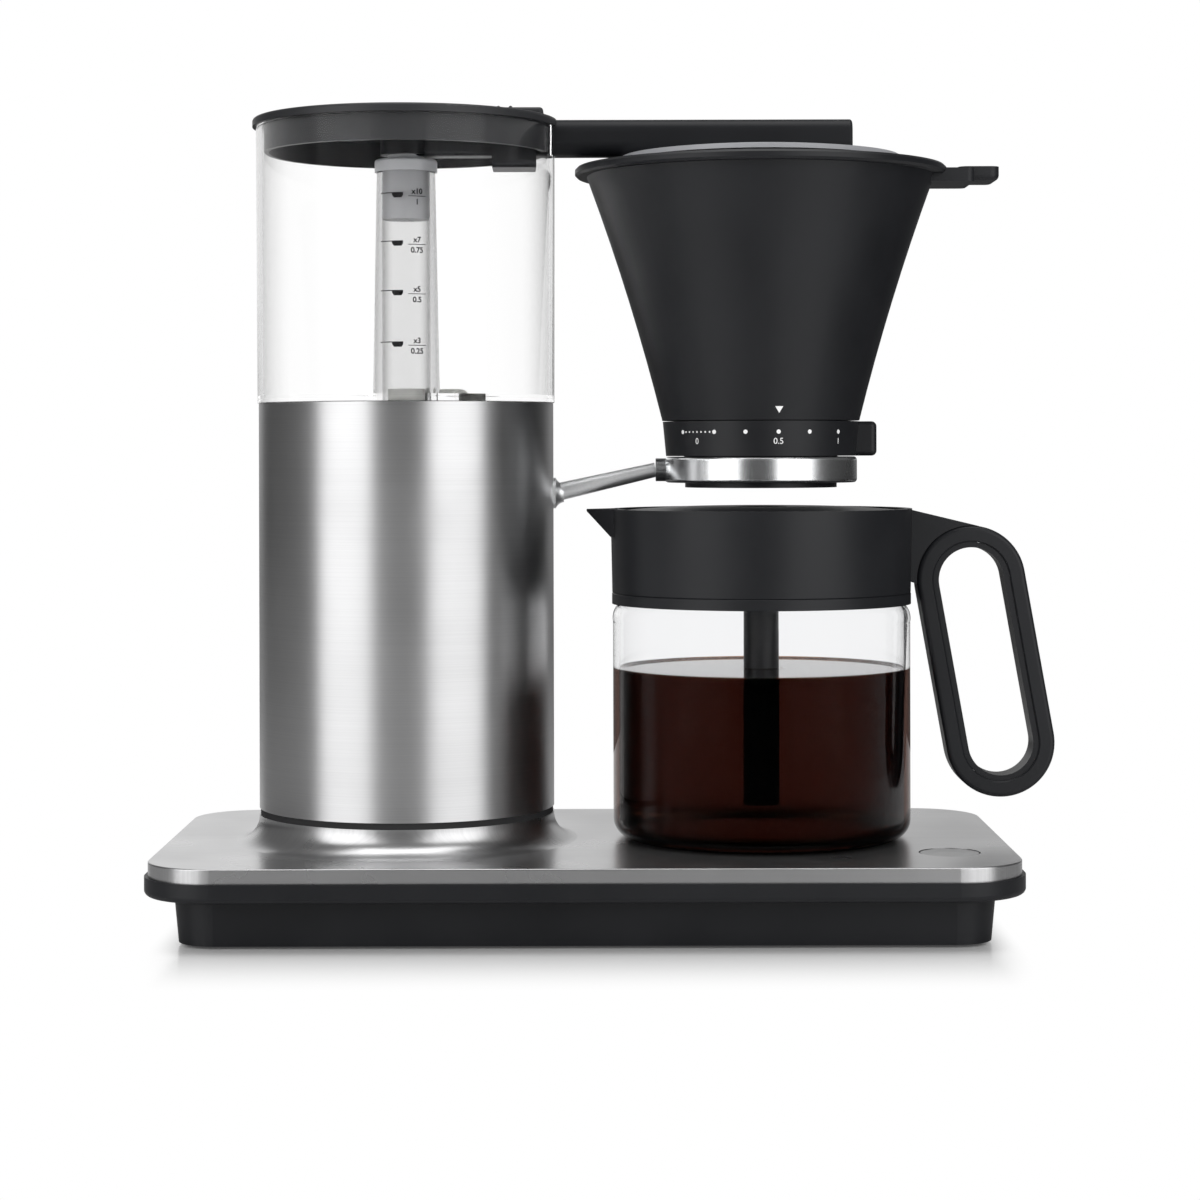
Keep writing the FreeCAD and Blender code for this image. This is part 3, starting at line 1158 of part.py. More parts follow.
def boiler_body():
    body = u_pipe(PIPE_R, 0, 0).fuse(u_pipe(HEATER_R, HEATER_OFFSET, -HEATER_PIN))
    body = body.cut(u_pipe(PIPE_BORE_R, 0, 0))
    return body.cut(u_pipe(HEATER_ROD_R + FIT_GAP, HEATER_OFFSET, 0))


def boiler_element():
    return u_pipe(HEATER_ROD_R, HEATER_OFFSET, -HOSE_LAP - HOSE_WALL)


def boiler_local(shape):
    shape.rotate(vec(0, 0, 0), vec(0, 0, 1), PORT_ANGLE)
    return shape.translated(vec(TOWER_X, 0, 0))


def boiler_bracket():
    reach = math.sqrt((SHELL_BORE_R - RUN_GAP - FOOT_RING_WALL) ** 2 - (BRACKET_WIDTH / 2) ** 2) - RUN_GAP
    half = BRACKET_WIDTH / 2
    bend = PORT_RADIUS / 2
    strip = box(-reach, reach, -half, half, SHEET_Z, BRACKET_TOP)
    cradle_half = CRADLE_LENGTH / 2
    cradle = box(bend - cradle_half, bend + cradle_half, -cradle_half, half, BRACKET_TOP, BOILER_Z + PIPE_R)
    body = boiler_local(strip.fuse(cradle))
    body = body.cut(u_pipe(PIPE_R + FIT_GAP, 0, 0))
    return body.cut(u_pipe(HEATER_R + FIT_GAP, HEATER_OFFSET, -HEATER_PIN))


def boiler_thermostat():
    z = (BOILER_Z + BOILER_TOP) / 2
    body = along_y(0, z, -PIPE_R - THERMOSTAT_HEIGHT, -PIPE_R + THERMOSTAT_SINK, THERMOSTAT_R)
    return boiler_local(body).cut(u_pipe(PIPE_R + FIT_GAP, 0, 0))


def thermal_fuse():
    z = (BOILER_Z + BOILER_TOP) / 2
    return boiler_local(post(PORT_RADIUS, -PIPE_R - FUSE_R, z - FUSE_LENGTH / 2, z + FUSE_LENGTH / 2, FUSE_R))


def check_valve_body():
    low = BOILER_TOP + FIT_GAP
    mid_z = (BOILER_TOP + SEAT_Z - SEAT_SKIRT) / 2
    top = SEAT_Z - SEAT_SKIRT - FIT_GAP
    body = post(PORT_X, PORT_Y, low, top, PIPE_R)
    body = body.fuse(post(PORT_X, PORT_Y, mid_z - CHECK_LENGTH / 2, mid_z + CHECK_LENGTH / 2, CHECK_R))
    body = body.cut(post(PORT_X, PORT_Y, low, top, BALL_SEAT_R))
    chamber = mid_z - CHECK_LENGTH / 2 + CHECK_CHAMBER_R
    return body.cut(post(PORT_X, PORT_Y, chamber, mid_z + CHECK_LENGTH / 2 - CHECK_ROOF, CHECK_CHAMBER_R))


def check_ball():
    mid_z = (BOILER_TOP + SEAT_Z - SEAT_SKIRT) / 2
    chamber = mid_z - CHECK_LENGTH / 2 + CHECK_CHAMBER_R
    sink = math.sqrt(BALL_R ** 2 - BALL_SEAT_R ** 2)
    return Part.makeSphere(BALL_R, vec(PORT_X, PORT_Y, chamber + sink + FIT_GAP))


def hose_sleeve(x, y, z0, z1):
    return ring(x, y, z0, z1, PIPE_R + HOSE_WALL, PIPE_R + FIT_GAP / 2)


def hoses():
    top = SEAT_Z - SEAT_SKIRT
    pieces = [(TOWER_X, 0, BOILER_TOP), (PORT_X, PORT_Y, BOILER_TOP), (PORT_X, PORT_Y, top)]
    lap = [(HOSE_LAP, 2 * HOSE_LAP), (HOSE_LAP, HOSE_LAP), (HOSE_LAP, HOSE_LAP)]
    return [(x, y, z - down, z + up) for (x, y, z), (down, up) in zip(pieces, lap)]


def inlet_hose():
    return Part.makeCompound([hose_sleeve(*place) for place in hoses()[1:]])


def outlet_hose():
    return hose_sleeve(*hoses()[0])


def hose_clamps():
    r = PIPE_R + HOSE_WALL + FIT_GAP / 2
    clamps = []
    for x, y, z0, z1 in hoses():
        for z in (z0 + CLAMP_RING_INSET, z1 - CLAMP_RING_INSET - CLAMP_RING_WIDTH):
            clamps.append(ring(x, y, z, z + CLAMP_RING_WIDTH, r + CLAMP_RING_WALL, r))
    return Part.makeCompound(clamps)


NODES = [
    base_housing, bottom_cover, rubber_feet, bottom_screws, cord_gland, top_plate, tower_foot_ring,
    tower_seal, tower_shell, tank_seat, riser_nipple, water_tank, tank_strainer, riser_plug,
    riser_cap, arm_socket, spray_arm, shower_disc, tank_lid, filter_cone, hub_seal, valve_rivet,
    drip_dial, valve_disc, filter_ring, ring_liner, ring_arm, arm_saddle, arm_nut, jug_glass,
    jug_band, jug_seal, jug_collar, jug_handle, handle_liner, jug_lid, mixing_tube, hotplate_disc,
    hotplate_element, hotplate_clamp, hotplate_thermostat, button_guide, power_button, micro_switch,
    control_board, terminal_block, boiler_body, boiler_element, boiler_bracket, boiler_thermostat,
    thermal_fuse, check_valve_body, check_ball, inlet_hose, outlet_hose, hose_clamps]

os.makedirs("parts", exist_ok=True)
for make in NODES:
    make().exportStep("parts/" + make.__name__ + ".step")
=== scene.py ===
import json
import math

import bmesh
import bpy
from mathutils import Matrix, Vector


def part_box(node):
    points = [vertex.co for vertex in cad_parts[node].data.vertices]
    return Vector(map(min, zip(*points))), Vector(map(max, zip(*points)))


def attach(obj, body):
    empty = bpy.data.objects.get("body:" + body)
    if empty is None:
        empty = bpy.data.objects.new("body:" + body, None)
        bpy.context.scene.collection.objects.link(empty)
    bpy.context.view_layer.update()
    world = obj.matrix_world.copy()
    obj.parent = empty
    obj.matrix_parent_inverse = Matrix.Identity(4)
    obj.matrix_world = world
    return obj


# Looks of the drip coffee maker, in metres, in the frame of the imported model.

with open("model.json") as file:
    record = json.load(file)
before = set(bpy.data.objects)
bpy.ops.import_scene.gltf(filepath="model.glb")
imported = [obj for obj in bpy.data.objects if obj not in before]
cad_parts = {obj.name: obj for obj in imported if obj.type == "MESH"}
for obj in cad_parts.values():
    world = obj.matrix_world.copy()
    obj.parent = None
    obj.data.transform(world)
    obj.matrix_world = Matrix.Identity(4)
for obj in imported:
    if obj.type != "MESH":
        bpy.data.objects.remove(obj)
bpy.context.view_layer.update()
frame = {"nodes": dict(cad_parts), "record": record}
nodes = frame["nodes"]

# Camera: level but for a slight roll, at the photograph's distance and height
IMAGE_SIZE = 1200
FOCAL_PIXELS = 2800.0
HORIZON_PIXEL = 450.0
SENSOR_MM = 36.0
CAMERA_PLACE = (-0.0043, -1.210, 0.2012)
CAMERA_ROLL = 0.14

# Floor: past the reach from the base's middle, weighted per axis, it fades to white
FLOOR_SIZE = 1.3
FLOOR_ROUGH = 0.16
FLOOR_IOR = 2.2
FLOOR_TONE = (0.90, 0.90, 0.90)
# Floor tone for glossy rays: painted shade, darker than the floor seen directly, in its reflections
FLOOR_REFLECTED_SHADE = (0.42, 0.42, 0.42)
FLOOR_REACH = (0.160, 0.083, 0.0)
FLOOR_WEIGHT = (5.0, 1.0, 0.0)
FLOOR_FADE = 0.088
FLOOR_NEAR = 0.05

# Surroundings: tones by direction, and the spans over which they change
FRONT_GREY = 0.13
CLEAR_GREY = 0.94
BACK_WHITE = 1.0
BACK_SPAN = (0.72, 0.97)
LOW_GREY = 0.12
LOW_SPAN = (-0.02, 0.06)
RIGHT_GREY = 0.60
RIGHT_SPAN = (-0.14, 0.16)
SKY_LIGHT = 0.55

# Lamps: name, place, width, height, watts
LAMP_AIM = (0.0, 0.0, 0.18)
LAMPS = (
    ("softbox_left", (-1.00, -0.94, 0.40), 1.05, 1.5, 9.2),
    ("softbox_right", (0.86, -1.02, 0.40), 1.13, 1.5, 10.0),
    ("softbox_top", (0.0, -0.1, 1.7), 1.6, 1.2, 15.0),
)

# Noise: scale and detail, and the part of its range that is used
NOISE_SPAN = (0.3, 0.7)
GRAIN_DETAIL = 4.0
GRAIN_DEPTH = 0.00002
WEAR_NOISE = (22.0, 3.0)
GLASS_NOISE = (30.0, 2.0)
COFFEE_NOISE = (40.0, 2.0)
WAVE_NOISE = (14.0, 1.0)
WAVE_STRENGTH = 0.02
WAVE_DEPTH = 0.0002

# Brush lines: stretch of the grain per axis, and how a turned sheet spreads its highlights
LINES_AROUND = (10.0, 10.0, 4200.0)
LINES_ALONG = (10.0, 4200.0, 10.0)
LINE_GRAIN = 1.0
BRUSHED_SPREAD = 0.8
BRUSHED_TURN = 0.25

# Clear tank: the greys, deepening towards the silhouettes, are painted shade; each set gives the facing
# where the grey starts and ends, and the greys there
TANK_IOR = 1.30
TANK_MIRROR = 0.08
TUBE_EDGE = 0.018
TUBE_BLEND = 0.002
TUBE_ROUGH = 0.10
TUBE_TINT_AND_EDGE_SHADE = (0.15, 0.60, 0.86, 0.36)
WALL_EDGE_SHADE = (0.42, 0.88, 1.0, 0.64)

# Jug glass: the brew colour and its spans below are painted shade on the glass, towards its silhouette
# and at its foot, up to the coffee level
GLASS_IOR = 1.18
GLASS_MIRROR = 0.06
GLASS_ROUGH = (0.0, 0.01)
GLASS_TINT = (0.95, 0.952, 0.957)
GLASS_BREW_SHADE = (0.012, 0.0035, 0.0022)
GLASS_SHADE_FACING = (0.22, 0.72)
GLASS_FOOT = (0.0085, 0.0035)
GLASS_WALL = 0.0025
GLASS_FLOOR = 0.003
GLASS_CORNER = 0.0055
CORNER_STEPS = 8

# Coffee in the jug; its top is told from its sides by how far the surface faces up
COFFEE_LEVEL = 0.1068
COFFEE_GAP = 0.0003
COFFEE_IOR = (1.12, 1.33)
COFFEE_MIRROR = ((0.03, 0.03, 0.03), (1, 1, 1))
COFFEE_ROUGH = (0.0, 0.02)
# Painted shade: the brew darkens to this colour towards the jug's bottom
COFFEE_BOTTOM_SHADE = (0.0015, 0.0003, 0.0002)
COFFEE_BREW = (0.018, 0.0038, 0.0024)
COFFEE_EDGE = (0.60, 0.33, 0.18)
BREW_SPAN = (0.16, 0.989)
TOP_SPAN = (0.3, 0.7)
MENISCUS_RISE = 0.0008
MENISCUS_WIDTH = 0.0016
LEVEL_BLEND = 0.0003
LATHE_STEPS = 128

# Prints
PRINT_LIFT = 0.00006
PRINT_THICK = 0.00004
MERGE_DISTANCE = 1e-7
CUT_DISTANCE = 1e-8
DOT_STEPS = 20
STRIP = 0.0006

# Volume scale on the tank's tube: cups, litres, height
MARKS = (("x10", "1", 0.3115), ("x7", "0.75", 0.2908), ("x5", "0.5", 0.2696), ("x3", "0.25", 0.2476))
MARK_LEFT = -0.0116
MARK_HALF = 0.0002
MARK_TEXT = 0.0033
MARK_WEIGHT = 0.00009
MARK_TEXT_ACROSS = 0.0057
MARK_TEXT_UP = (0.0005, -0.0040)
FRACTION_ACROSS = (0.0018, 0.0098)
FRACTION_UP = (-0.0016, -0.0013)
SCOOP = (-0.0055, -0.0004)
SCOOP_DEEP = 0.0021

# Marks on the dial, angles in degrees, and the pointer above it
DIAL_MARKS = (-55.0, -31.0, -12.0, 7.0, 26.0, 48.0)
DIAL_TEXT = 0.0036
DIAL_DOT = 0.0009
RANGE_DOT = 0.0004
RANGE_STEPS = 8
DOT_DOWN = 0.0046
TEXT_DOWN = 0.0086
POINTER_LIFT = 0.0028
POINTER_HEIGHT = 0.0028
POINTER_HALF = 0.0017


def middle(node):
    low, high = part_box(node)
    return (low + high) / 2


BASE = middle("base_housing")
TOWER = middle("tower_shell")
JUG = middle("jug_glass")

# Surfaces that carry prints, as in the solids: heights of both ends and radii there
TUBE_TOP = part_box("riser_plug")[1].z
TUBE_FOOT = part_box("water_tank")[0].z + 0.003
TUBE_CAP = 0.002
TUBE_R = (0.0144, 0.0126)
DIAL_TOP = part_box("drip_dial")[1].z
DIAL_FOOT = DIAL_TOP - 0.0148
DIAL_R = (0.0409, 0.0423)
CONE_LOW = DIAL_TOP + 0.0004
CONE_HIGH = CONE_LOW + 0.1052
CONE_R = (0.0425, 0.0749)
CONE_SAG = 0.0016


# Shader nodes

def feed(tree, node, sockets):
    """Give each named input a constant, or a link from another node's output."""
    for name, value in dict(sockets).items():
        if isinstance(value, bpy.types.NodeSocket):
            tree.links.new(value, node.inputs[name])
        else:
            node.inputs[name].default_value = value


def add(tree, kind, sockets=(), **settings):
    node = tree.nodes.new(kind)
    for name, setting in settings.items():
        setattr(node, name, setting)
    feed(tree, node, sockets)
    return node


def coordinates(tree, kind):
    return add(tree, "ShaderNodeTexCoord").outputs[kind]


def parts(tree, vector):
    return add(tree, "ShaderNodeSeparateXYZ", {"Vector": vector}).outputs


def vector_step(tree, operation, *values):
    """Vector arithmetic; a length comes back as a number."""
    node = add(tree, "ShaderNodeVectorMath", enumerate(values), operation=operation)
    return node.outputs["Value" if operation == "LENGTH" else "Vector"]


def combined(tree, operation, one, other):
    return add(tree, "ShaderNodeMath", {0: one, 1: other}, operation=operation).outputs["Value"]


def mixed(tree, share, one, other):
    return add(tree, "ShaderNodeMix", {"Factor": share, "A": one, "B": other}).outputs["Result"]


def facing(tree):
    """From 0 where the surface faces the viewer to 1 at its silhouette."""
    return add(tree, "ShaderNodeLayerWeight").outputs["Facing"]


def noise(tree, scale, detail, stretch=(1, 1, 1)):
    """Noise in the piece's own coordinates, stretched per axis."""
    mapping = add(tree, "ShaderNodeMapping", {"Vector": coordinates(tree, "Object"), "Scale": stretch})
    sockets = {"Vector": mapping.outputs["Vector"], "Scale": scale, "Detail": detail}
    return add(tree, "ShaderNodeTexNoise", sockets).outputs["Fac"]


def ramped(tree, value, start, end, low=0.0, high=1.0, easing="LINEAR"):
    """Number that goes from low to high as the value goes from start to end."""
    sockets = {"Value": value, "From Min": start, "From Max": end, "To Min": low, "To Max": high}
    return add(tree, "ShaderNodeMapRange", sockets, interpolation_type=easing).outputs["Result"]


def tinted(tree, value, first, last, span=(0.0, 1.0), between=()):
    """Colour that goes from first to last as the value goes through the span, by way of further stops."""
    node = add(tree, "ShaderNodeValToRGB", {"Fac": value})
    stops = node.color_ramp.elements
    for i, colour in enumerate((first, last)):
        stops[i].position = span[i]
        stops[i].color = (*colour, 1)
    for position, colour in between:
        stops.new(position).color = (*colour, 1)
    return node.outputs["Color"]


def bumped(tree, value, strength, distance):
    sockets = {"Height": value, "Strength": strength, "Distance": distance}
    return add(tree, "ShaderNodeBump", sockets).outputs["Normal"]


# Materials

def new_material(name):
    mat = bpy.data.materials.new(name)
    mat.use_nodes = True
    return mat, mat.node_tree, mat.node_tree.nodes["Principled BSDF"]


def surface(name, dark, light, rough, grain, metallic=0.0, stretch=(1, 1, 1), bump=0.1, shine=0.5):
    """Principled surface whose colour, gloss and relief vary with fine grain and broad wear."""
    mat, tree, bsdf = new_material(name)
    fine = noise(tree, grain, GRAIN_DETAIL, stretch)
    broad = noise(tree, *WEAR_NOISE)
    feed(tree, bsdf, {
        "Metallic": metallic,
        "Specular IOR Level": shine,
        "Base Color": tinted(tree, fine if metallic else broad, dark, light, NOISE_SPAN),
        "Roughness": ramped(tree, broad, *NOISE_SPAN, *rough),
        "Normal": bumped(tree, fine, bump, GRAIN_DEPTH),
    })
    return mat


def brushed(name, tones, rough, stretch, bump):
    """Brushed steel, its lines drawn out along the axes with the least stretch."""
    return surface(name, *tones, rough, LINE_GRAIN, 1.0, stretch, bump)


def brushed_around(mat):
    """Stretch the highlights of a turned sheet upright, across its brush lines."""
    tree = mat.node_tree
    around = add(tree, "ShaderNodeTangent", direction_type="RADIAL", axis="Z")
    feed(tree, tree.nodes["Principled BSDF"], {
        "Anisotropic": BRUSHED_SPREAD,
        "Anisotropic Rotation": BRUSHED_TURN,
        "Tangent": around.outputs["Tangent"],
    })
    return mat


def clear(name, ior, mirror):
    """Clear moulding with a faint unevenness of its surface; mirror scales its reflections."""
    mat, tree, bsdf = new_material(name)
    feed(tree, bsdf, {
        "Specular Tint": (mirror, mirror, mirror, 1),
        "Transmission Weight": 1.0,
        "IOR": ior,
        "Normal": bumped(tree, noise(tree, *WAVE_NOISE), WAVE_STRENGTH, WAVE_DEPTH),
    })
    return mat, tree, bsdf


def clear_tank():
    """Clear tank, with painted shade greying it towards its silhouette edges, and a greyer and less
    polished centre tube.
    """
    mat, tree, bsdf = clear("clear_plastic", TANK_IOR, TANK_MIRROR)
    flat = add(tree, "ShaderNodeMapping", {
        "Vector": coordinates(tree, "Object"),
        "Location": (-TOWER.x, -TOWER.y, 0),
        "Scale": (1, 1, 0),
    })
    reach = vector_step(tree, "LENGTH", flat.outputs["Vector"])
    wall = ramped(tree, reach, TUBE_EDGE, TUBE_EDGE + TUBE_BLEND)
    # Painted shade: tube and wall turn greyer as they face away towards the silhouette
    tone_and_edge_shade = [ramped(tree, wall, 0.0, 1.0, *ends) for ends in zip(TUBE_TINT_AND_EDGE_SHADE, WALL_EDGE_SHADE)]
    feed(tree, bsdf, {
        "Base Color": ramped(tree, facing(tree), *tone_and_edge_shade),
        "Roughness": ramped(tree, wall, 0.0, 1.0, TUBE_ROUGH, 0.0),
    })
    return mat


def filled_glass():
    """Jug glass with painted shade in brew colour towards its silhouette and at its foot, below the
    coffee level.
    """
    mat, tree, bsdf = clear("jug_glass", GLASS_IOR, GLASS_MIRROR)
    z = parts(tree, coordinates(tree, "Object"))["Z"]
    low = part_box("jug_glass")[0].z
    full = COFFEE_LEVEL + MENISCUS_RISE
    # Painted shade: brew colour where the glass turns to its silhouette, and at its foot
    side_shade = ramped(tree, facing(tree), *GLASS_SHADE_FACING)
    foot = ramped(tree, z, *[low + rise for rise in GLASS_FOOT])
    filled = ramped(tree, z, full + LEVEL_BLEND, full)
    edge = combined(tree, "MAXIMUM", side_shade, foot)
    share = combined(tree, "MULTIPLY", edge, filled)
    feed(tree, bsdf, {
        "Base Color": tinted(tree, share, GLASS_TINT, GLASS_BREW_SHADE),
        "Roughness": ramped(tree, noise(tree, *GLASS_NOISE), *NOISE_SPAN, *GLASS_ROUGH),
    })
    return mat


def coffee_material():
    """Dark clear brew with painted shade darkening it towards the bottom, browner in the thin edge that
    climbs the glass, mirroring on its open top only.
    """
    mat, tree, bsdf = new_material("coffee")
    upward = parts(tree, add(tree, "ShaderNodeNewGeometry").outputs["Normal"])["Z"]
    z = parts(tree, coordinates(tree, "Object"))["Z"]
    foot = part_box("jug_glass")[0].z + GLASS_FLOOR
    height = ramped(tree, z, foot, COFFEE_LEVEL + MENISCUS_RISE)
    # Painted shade darkens the brew towards the bottom of the jug
    brew = [(position, COFFEE_BREW) for position in BREW_SPAN]
    feed(tree, bsdf, {
        "Transmission Weight": 1.0,
        "IOR": ramped(tree, upward, *TOP_SPAN, *COFFEE_IOR),
        "Specular Tint": tinted(tree, ramped(tree, upward, *TOP_SPAN), *COFFEE_MIRROR),
        "Base Color": tinted(tree, height, COFFEE_BOTTOM_SHADE, COFFEE_EDGE, between=brew),
        "Roughness": ramped(tree, noise(tree, *COFFEE_NOISE), *NOISE_SPAN, *COFFEE_ROUGH),
    })
    return mat


# Tones and looks: dark tone, light tone, roughness, grain
BLACK = ((0.0085, 0.0090, 0.0108), (0.0120, 0.0126, 0.0148))
STEEL = ((0.54, 0.54, 0.545), (0.62, 0.62, 0.625))
PALE_STEEL = ((0.66, 0.66, 0.665), (0.71, 0.71, 0.715))
DARK_STEEL = ((0.36, 0.36, 0.365), (0.42, 0.42, 0.425))
BY_SLOT = {
    "black_plastic": surface("black_plastic", *BLACK, (0.38, 0.48), 3500.0, shine=0.32),
    "polished_metal": surface(
        "polished_metal", (0.78, 0.79, 0.80), (0.86, 0.87, 0.88), (0.20, 0.30), 900.0, 1.0, bump=0.03),
    "grey_plastic": surface(
        "grey_plastic", (0.42, 0.425, 0.44), (0.48, 0.485, 0.50), (0.34, 0.46), 2500.0),
    "black_rubber": surface(
        "black_rubber", (0.012, 0.012, 0.013), (0.020, 0.020, 0.021), (0.70, 0.88), 2200.0, bump=0.25),
    "silicone": surface(
        "silicone", (0.60, 0.60, 0.57), (0.70, 0.70, 0.67), (0.45, 0.60), 1800.0),
    "aluminium": surface(
        "aluminium", (0.58, 0.59, 0.60), (0.70, 0.71, 0.72), (0.35, 0.55), 1400.0, 1.0, bump=0.2),
    "zinc_steel": surface(
        "zinc_steel", (0.45, 0.45, 0.43), (0.62, 0.62, 0.60), (0.28, 0.45), 700.0, 1.0),
    "white_plastic": surface(
        "white_plastic", (0.74, 0.74, 0.70), (0.82, 0.82, 0.79), (0.35, 0.50), 2800.0),
    "board": surface(
        "board", (0.02, 0.13, 0.06), (0.04, 0.20, 0.09), (0.25, 0.45), 1200.0),
    "clear_plastic": clear_tank(),
    "jug_glass": filled_glass(),
}
BY_NODE = {
    "tower_shell": brushed_around(
        brushed("brushed_around", PALE_STEEL, (0.38, 0.44), LINES_AROUND, 0.025)),
    "top_plate": brushed("brushed_along", STEEL, (0.26, 0.32), LINES_ALONG, 0.06),
    "power_button": brushed("brushed_button", DARK_STEEL, (0.26, 0.32), LINES_ALONG, 0.06),
    "riser_plug": surface(
        "plug_grey", (0.62, 0.625, 0.645), (0.67, 0.675, 0.695), (0.34, 0.46), 2500.0),
    "tank_lid": surface(
        "lid_black", (0.021, 0.0215, 0.0235), (0.028, 0.0285, 0.031), (0.38, 0.48), 3500.0, shine=0.32),
    "ring_arm": surface(
        "rod_metal", (0.90, 0.91, 0.92), (0.95, 0.955, 0.96), (0.40, 0.48), 900.0, 1.0, bump=0.03),
    "spray_arm": surface("arm_black", *BLACK, (0.42, 0.52), 3500.0, shine=0.22),
    "shower_disc": surface(
        "shower_grey", (0.36, 0.365, 0.385), (0.41, 0.415, 0.435), (0.36, 0.48), 2500.0),
    "riser_nipple": BY_SLOT["white_plastic"],
    "tank_strainer": BY_SLOT["silicone"],
}
BLACK_INK = surface(
    "black_ink", (0.010, 0.010, 0.011), (0.016, 0.016, 0.017), (0.45, 0.60), 3000.0, shine=0.1)
WHITE_INK = surface(
    "white_ink", (0.78, 0.78, 0.78), (0.86, 0.86, 0.86), (0.45, 0.60), 3000.0)
for part in frame["record"]["subparts"]:
    node = part["node"]
    look = BY_NODE[node] if node in BY_NODE else BY_SLOT[part["material_slot"]]
    nodes[node].data.materials.clear()
    nodes[node].data.materials.append(look)


# Pieces

def add_object(name, bm, mat):
    mesh = bpy.data.meshes.new(name)
    bm.to_mesh(mesh)
    bm.free()
    mesh.materials.append(mat)
    obj = bpy.data.objects.new(name, mesh)
    bpy.context.scene.collection.objects.link(obj)
    return obj


def add_piece(name, bm, mat, body, smooth=False):
    bmesh.ops.recalc_face_normals(bm, faces=bm.faces)
    piece = add_object(name, bm, mat)
    for face in piece.data.polygons:
        face.use_smooth = smooth
    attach(piece, body)


def arc(r, z, radius, start, end, steps):
    """Points of a circular arc about (r, z), angles in degrees."""
    turns = [math.radians(start + (end - start) * i / steps) for i in range(steps + 1)]
    return [(r + radius * math.cos(a), z + radius * math.sin(a)) for a in turns]


def lathe(profile, axis):
    """Closed solid turned about the upright axis; the profile starts and ends on it."""
    bm = bmesh.new()
    turns = [2 * math.pi * i / LATHE_STEPS for i in range(LATHE_STEPS)]
    rows = []
    for r, z in profile:
        if r == 0:
            rows.append([bm.verts.new((axis.x, axis.y, z))] * LATHE_STEPS)
            continue
        ring = [(axis.x + r * math.cos(a), axis.y + r * math.sin(a), z) for a in turns]
        rows.append([bm.verts.new(point) for point in ring])
    for low, high in zip(rows, rows[1:]):
        for i in range(LATHE_STEPS):
            k = (i + 1) % LATHE_STEPS
            bm.faces.new(list(dict.fromkeys((low[i], low[k], high[k], high[i]))))
    return bm


def coffee():
    """Brew that fills the jug round the mixing tube, with a raised edge at glass and tube."""
    glass_low, glass_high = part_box("jug_glass")
    tube_low, tube_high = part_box("mixing_tube")
    floor_z = glass_low.z + GLASS_FLOOR + COFFEE_GAP
    outer = (glass_high.x - glass_low.x) / 2 - GLASS_WALL - COFFEE_GAP
    tube = (tube_high.x - tube_low.x) / 2 + COFFEE_GAP
    end = tube_low.z - COFFEE_GAP
    profile = [(0, floor_z)]
    profile += arc(outer - GLASS_CORNER, floor_z + GLASS_CORNER, GLASS_CORNER, -90, 0, CORNER_STEPS)
    # Rings beside each edge keep the smooth shading flat on the wide faces
    profile += [(outer, COFFEE_LEVEL), (outer, COFFEE_LEVEL + MENISCUS_RISE)]
    profile.append((outer - MENISCUS_WIDTH / 2, COFFEE_LEVEL + MENISCUS_RISE / 4))
    profile += [(outer - i * MENISCUS_WIDTH, COFFEE_LEVEL) for i in (1, 2)]
    profile += [(tube + i * MENISCUS_WIDTH, COFFEE_LEVEL) for i in (2, 1)]
    profile += [(tube, COFFEE_LEVEL + MENISCUS_RISE / 2), (tube, COFFEE_LEVEL)]
    profile += [(tube, end + MENISCUS_RISE), (tube, end), (tube - MENISCUS_RISE, end), (0, end)]
    add_piece("coffee_fill", lathe(profile, JUG), coffee_material(), "jug", smooth=True)


# Printed marks, drawn flat in (across, up) and wrapped round an upright surface

def text_faces(text, size, across, up, weight=0.0):
    curve = bpy.data.curves.new("mark", "FONT")
    curve.body = text
    curve.size = size
    curve.offset = weight
    curve.align_x = "CENTER"
    curve.align_y = "CENTER"
    shown = bpy.data.objects.new("mark", curve)
    bpy.context.scene.collection.objects.link(shown)
    bpy.context.view_layer.update()
    mesh = bpy.data.meshes.new_from_object(shown.evaluated_get(bpy.context.evaluated_depsgraph_get()))
    points = [(vert.co.x + across, vert.co.y + up) for vert in mesh.vertices]
    faces = [[points[i] for i in face.vertices] for face in mesh.polygons]
    bpy.data.meshes.remove(mesh)
    bpy.data.objects.remove(shown)
    bpy.data.curves.remove(curve)
    return faces


def bar_face(left, right, low, high):
    return [(left, low), (right, low), (right, high), (left, high)]


def dot_face(across, up, r):
    turns = [2 * math.pi * i / DOT_STEPS for i in range(DOT_STEPS)]
    return [(across + r * math.cos(a), up + r * math.sin(a)) for a in turns]


def cut_strips(bm):
    """Cut a flat print into narrow upright strips, so that it follows a round surface."""
    left = min(v.co.x for v in bm.verts)
    right = max(v.co.x for v in bm.verts)
    for i in range(1, math.ceil((right - left) / STRIP)):
        pieces = bm.verts[:] + bm.edges[:] + bm.faces[:]
        place = (left + i * STRIP, 0, 0)
        bmesh.ops.bisect_plane(bm, geom=pieces, dist=CUT_DISTANCE, plane_co=place, plane_no=(1, 0, 0))


def printed(name, faces, radius_at, axis, mat, body):
    """Thin print round the axis: across becomes the angle from the front, up the height."""
    bm = bmesh.new()
    for face in faces:
        bm.faces.new([bm.verts.new((u, v, 0)) for u, v in face])
    bmesh.ops.remove_doubles(bm, verts=bm.verts, dist=MERGE_DISTANCE)
    cut_strips(bm)
    bmesh.ops.solidify(bm, geom=bm.faces[:], thickness=PRINT_THICK)
    low = min(vert.co.z for vert in bm.verts)
    for vert in bm.verts:
        u, v, w = vert.co
        base = radius_at(v)
        turn = u / base
        r = base + PRINT_LIFT + (w - low)
        vert.co = Vector((axis.x + r * math.sin(turn), axis.y - r * math.cos(turn), v))
    add_piece(name, bm, mat, body)


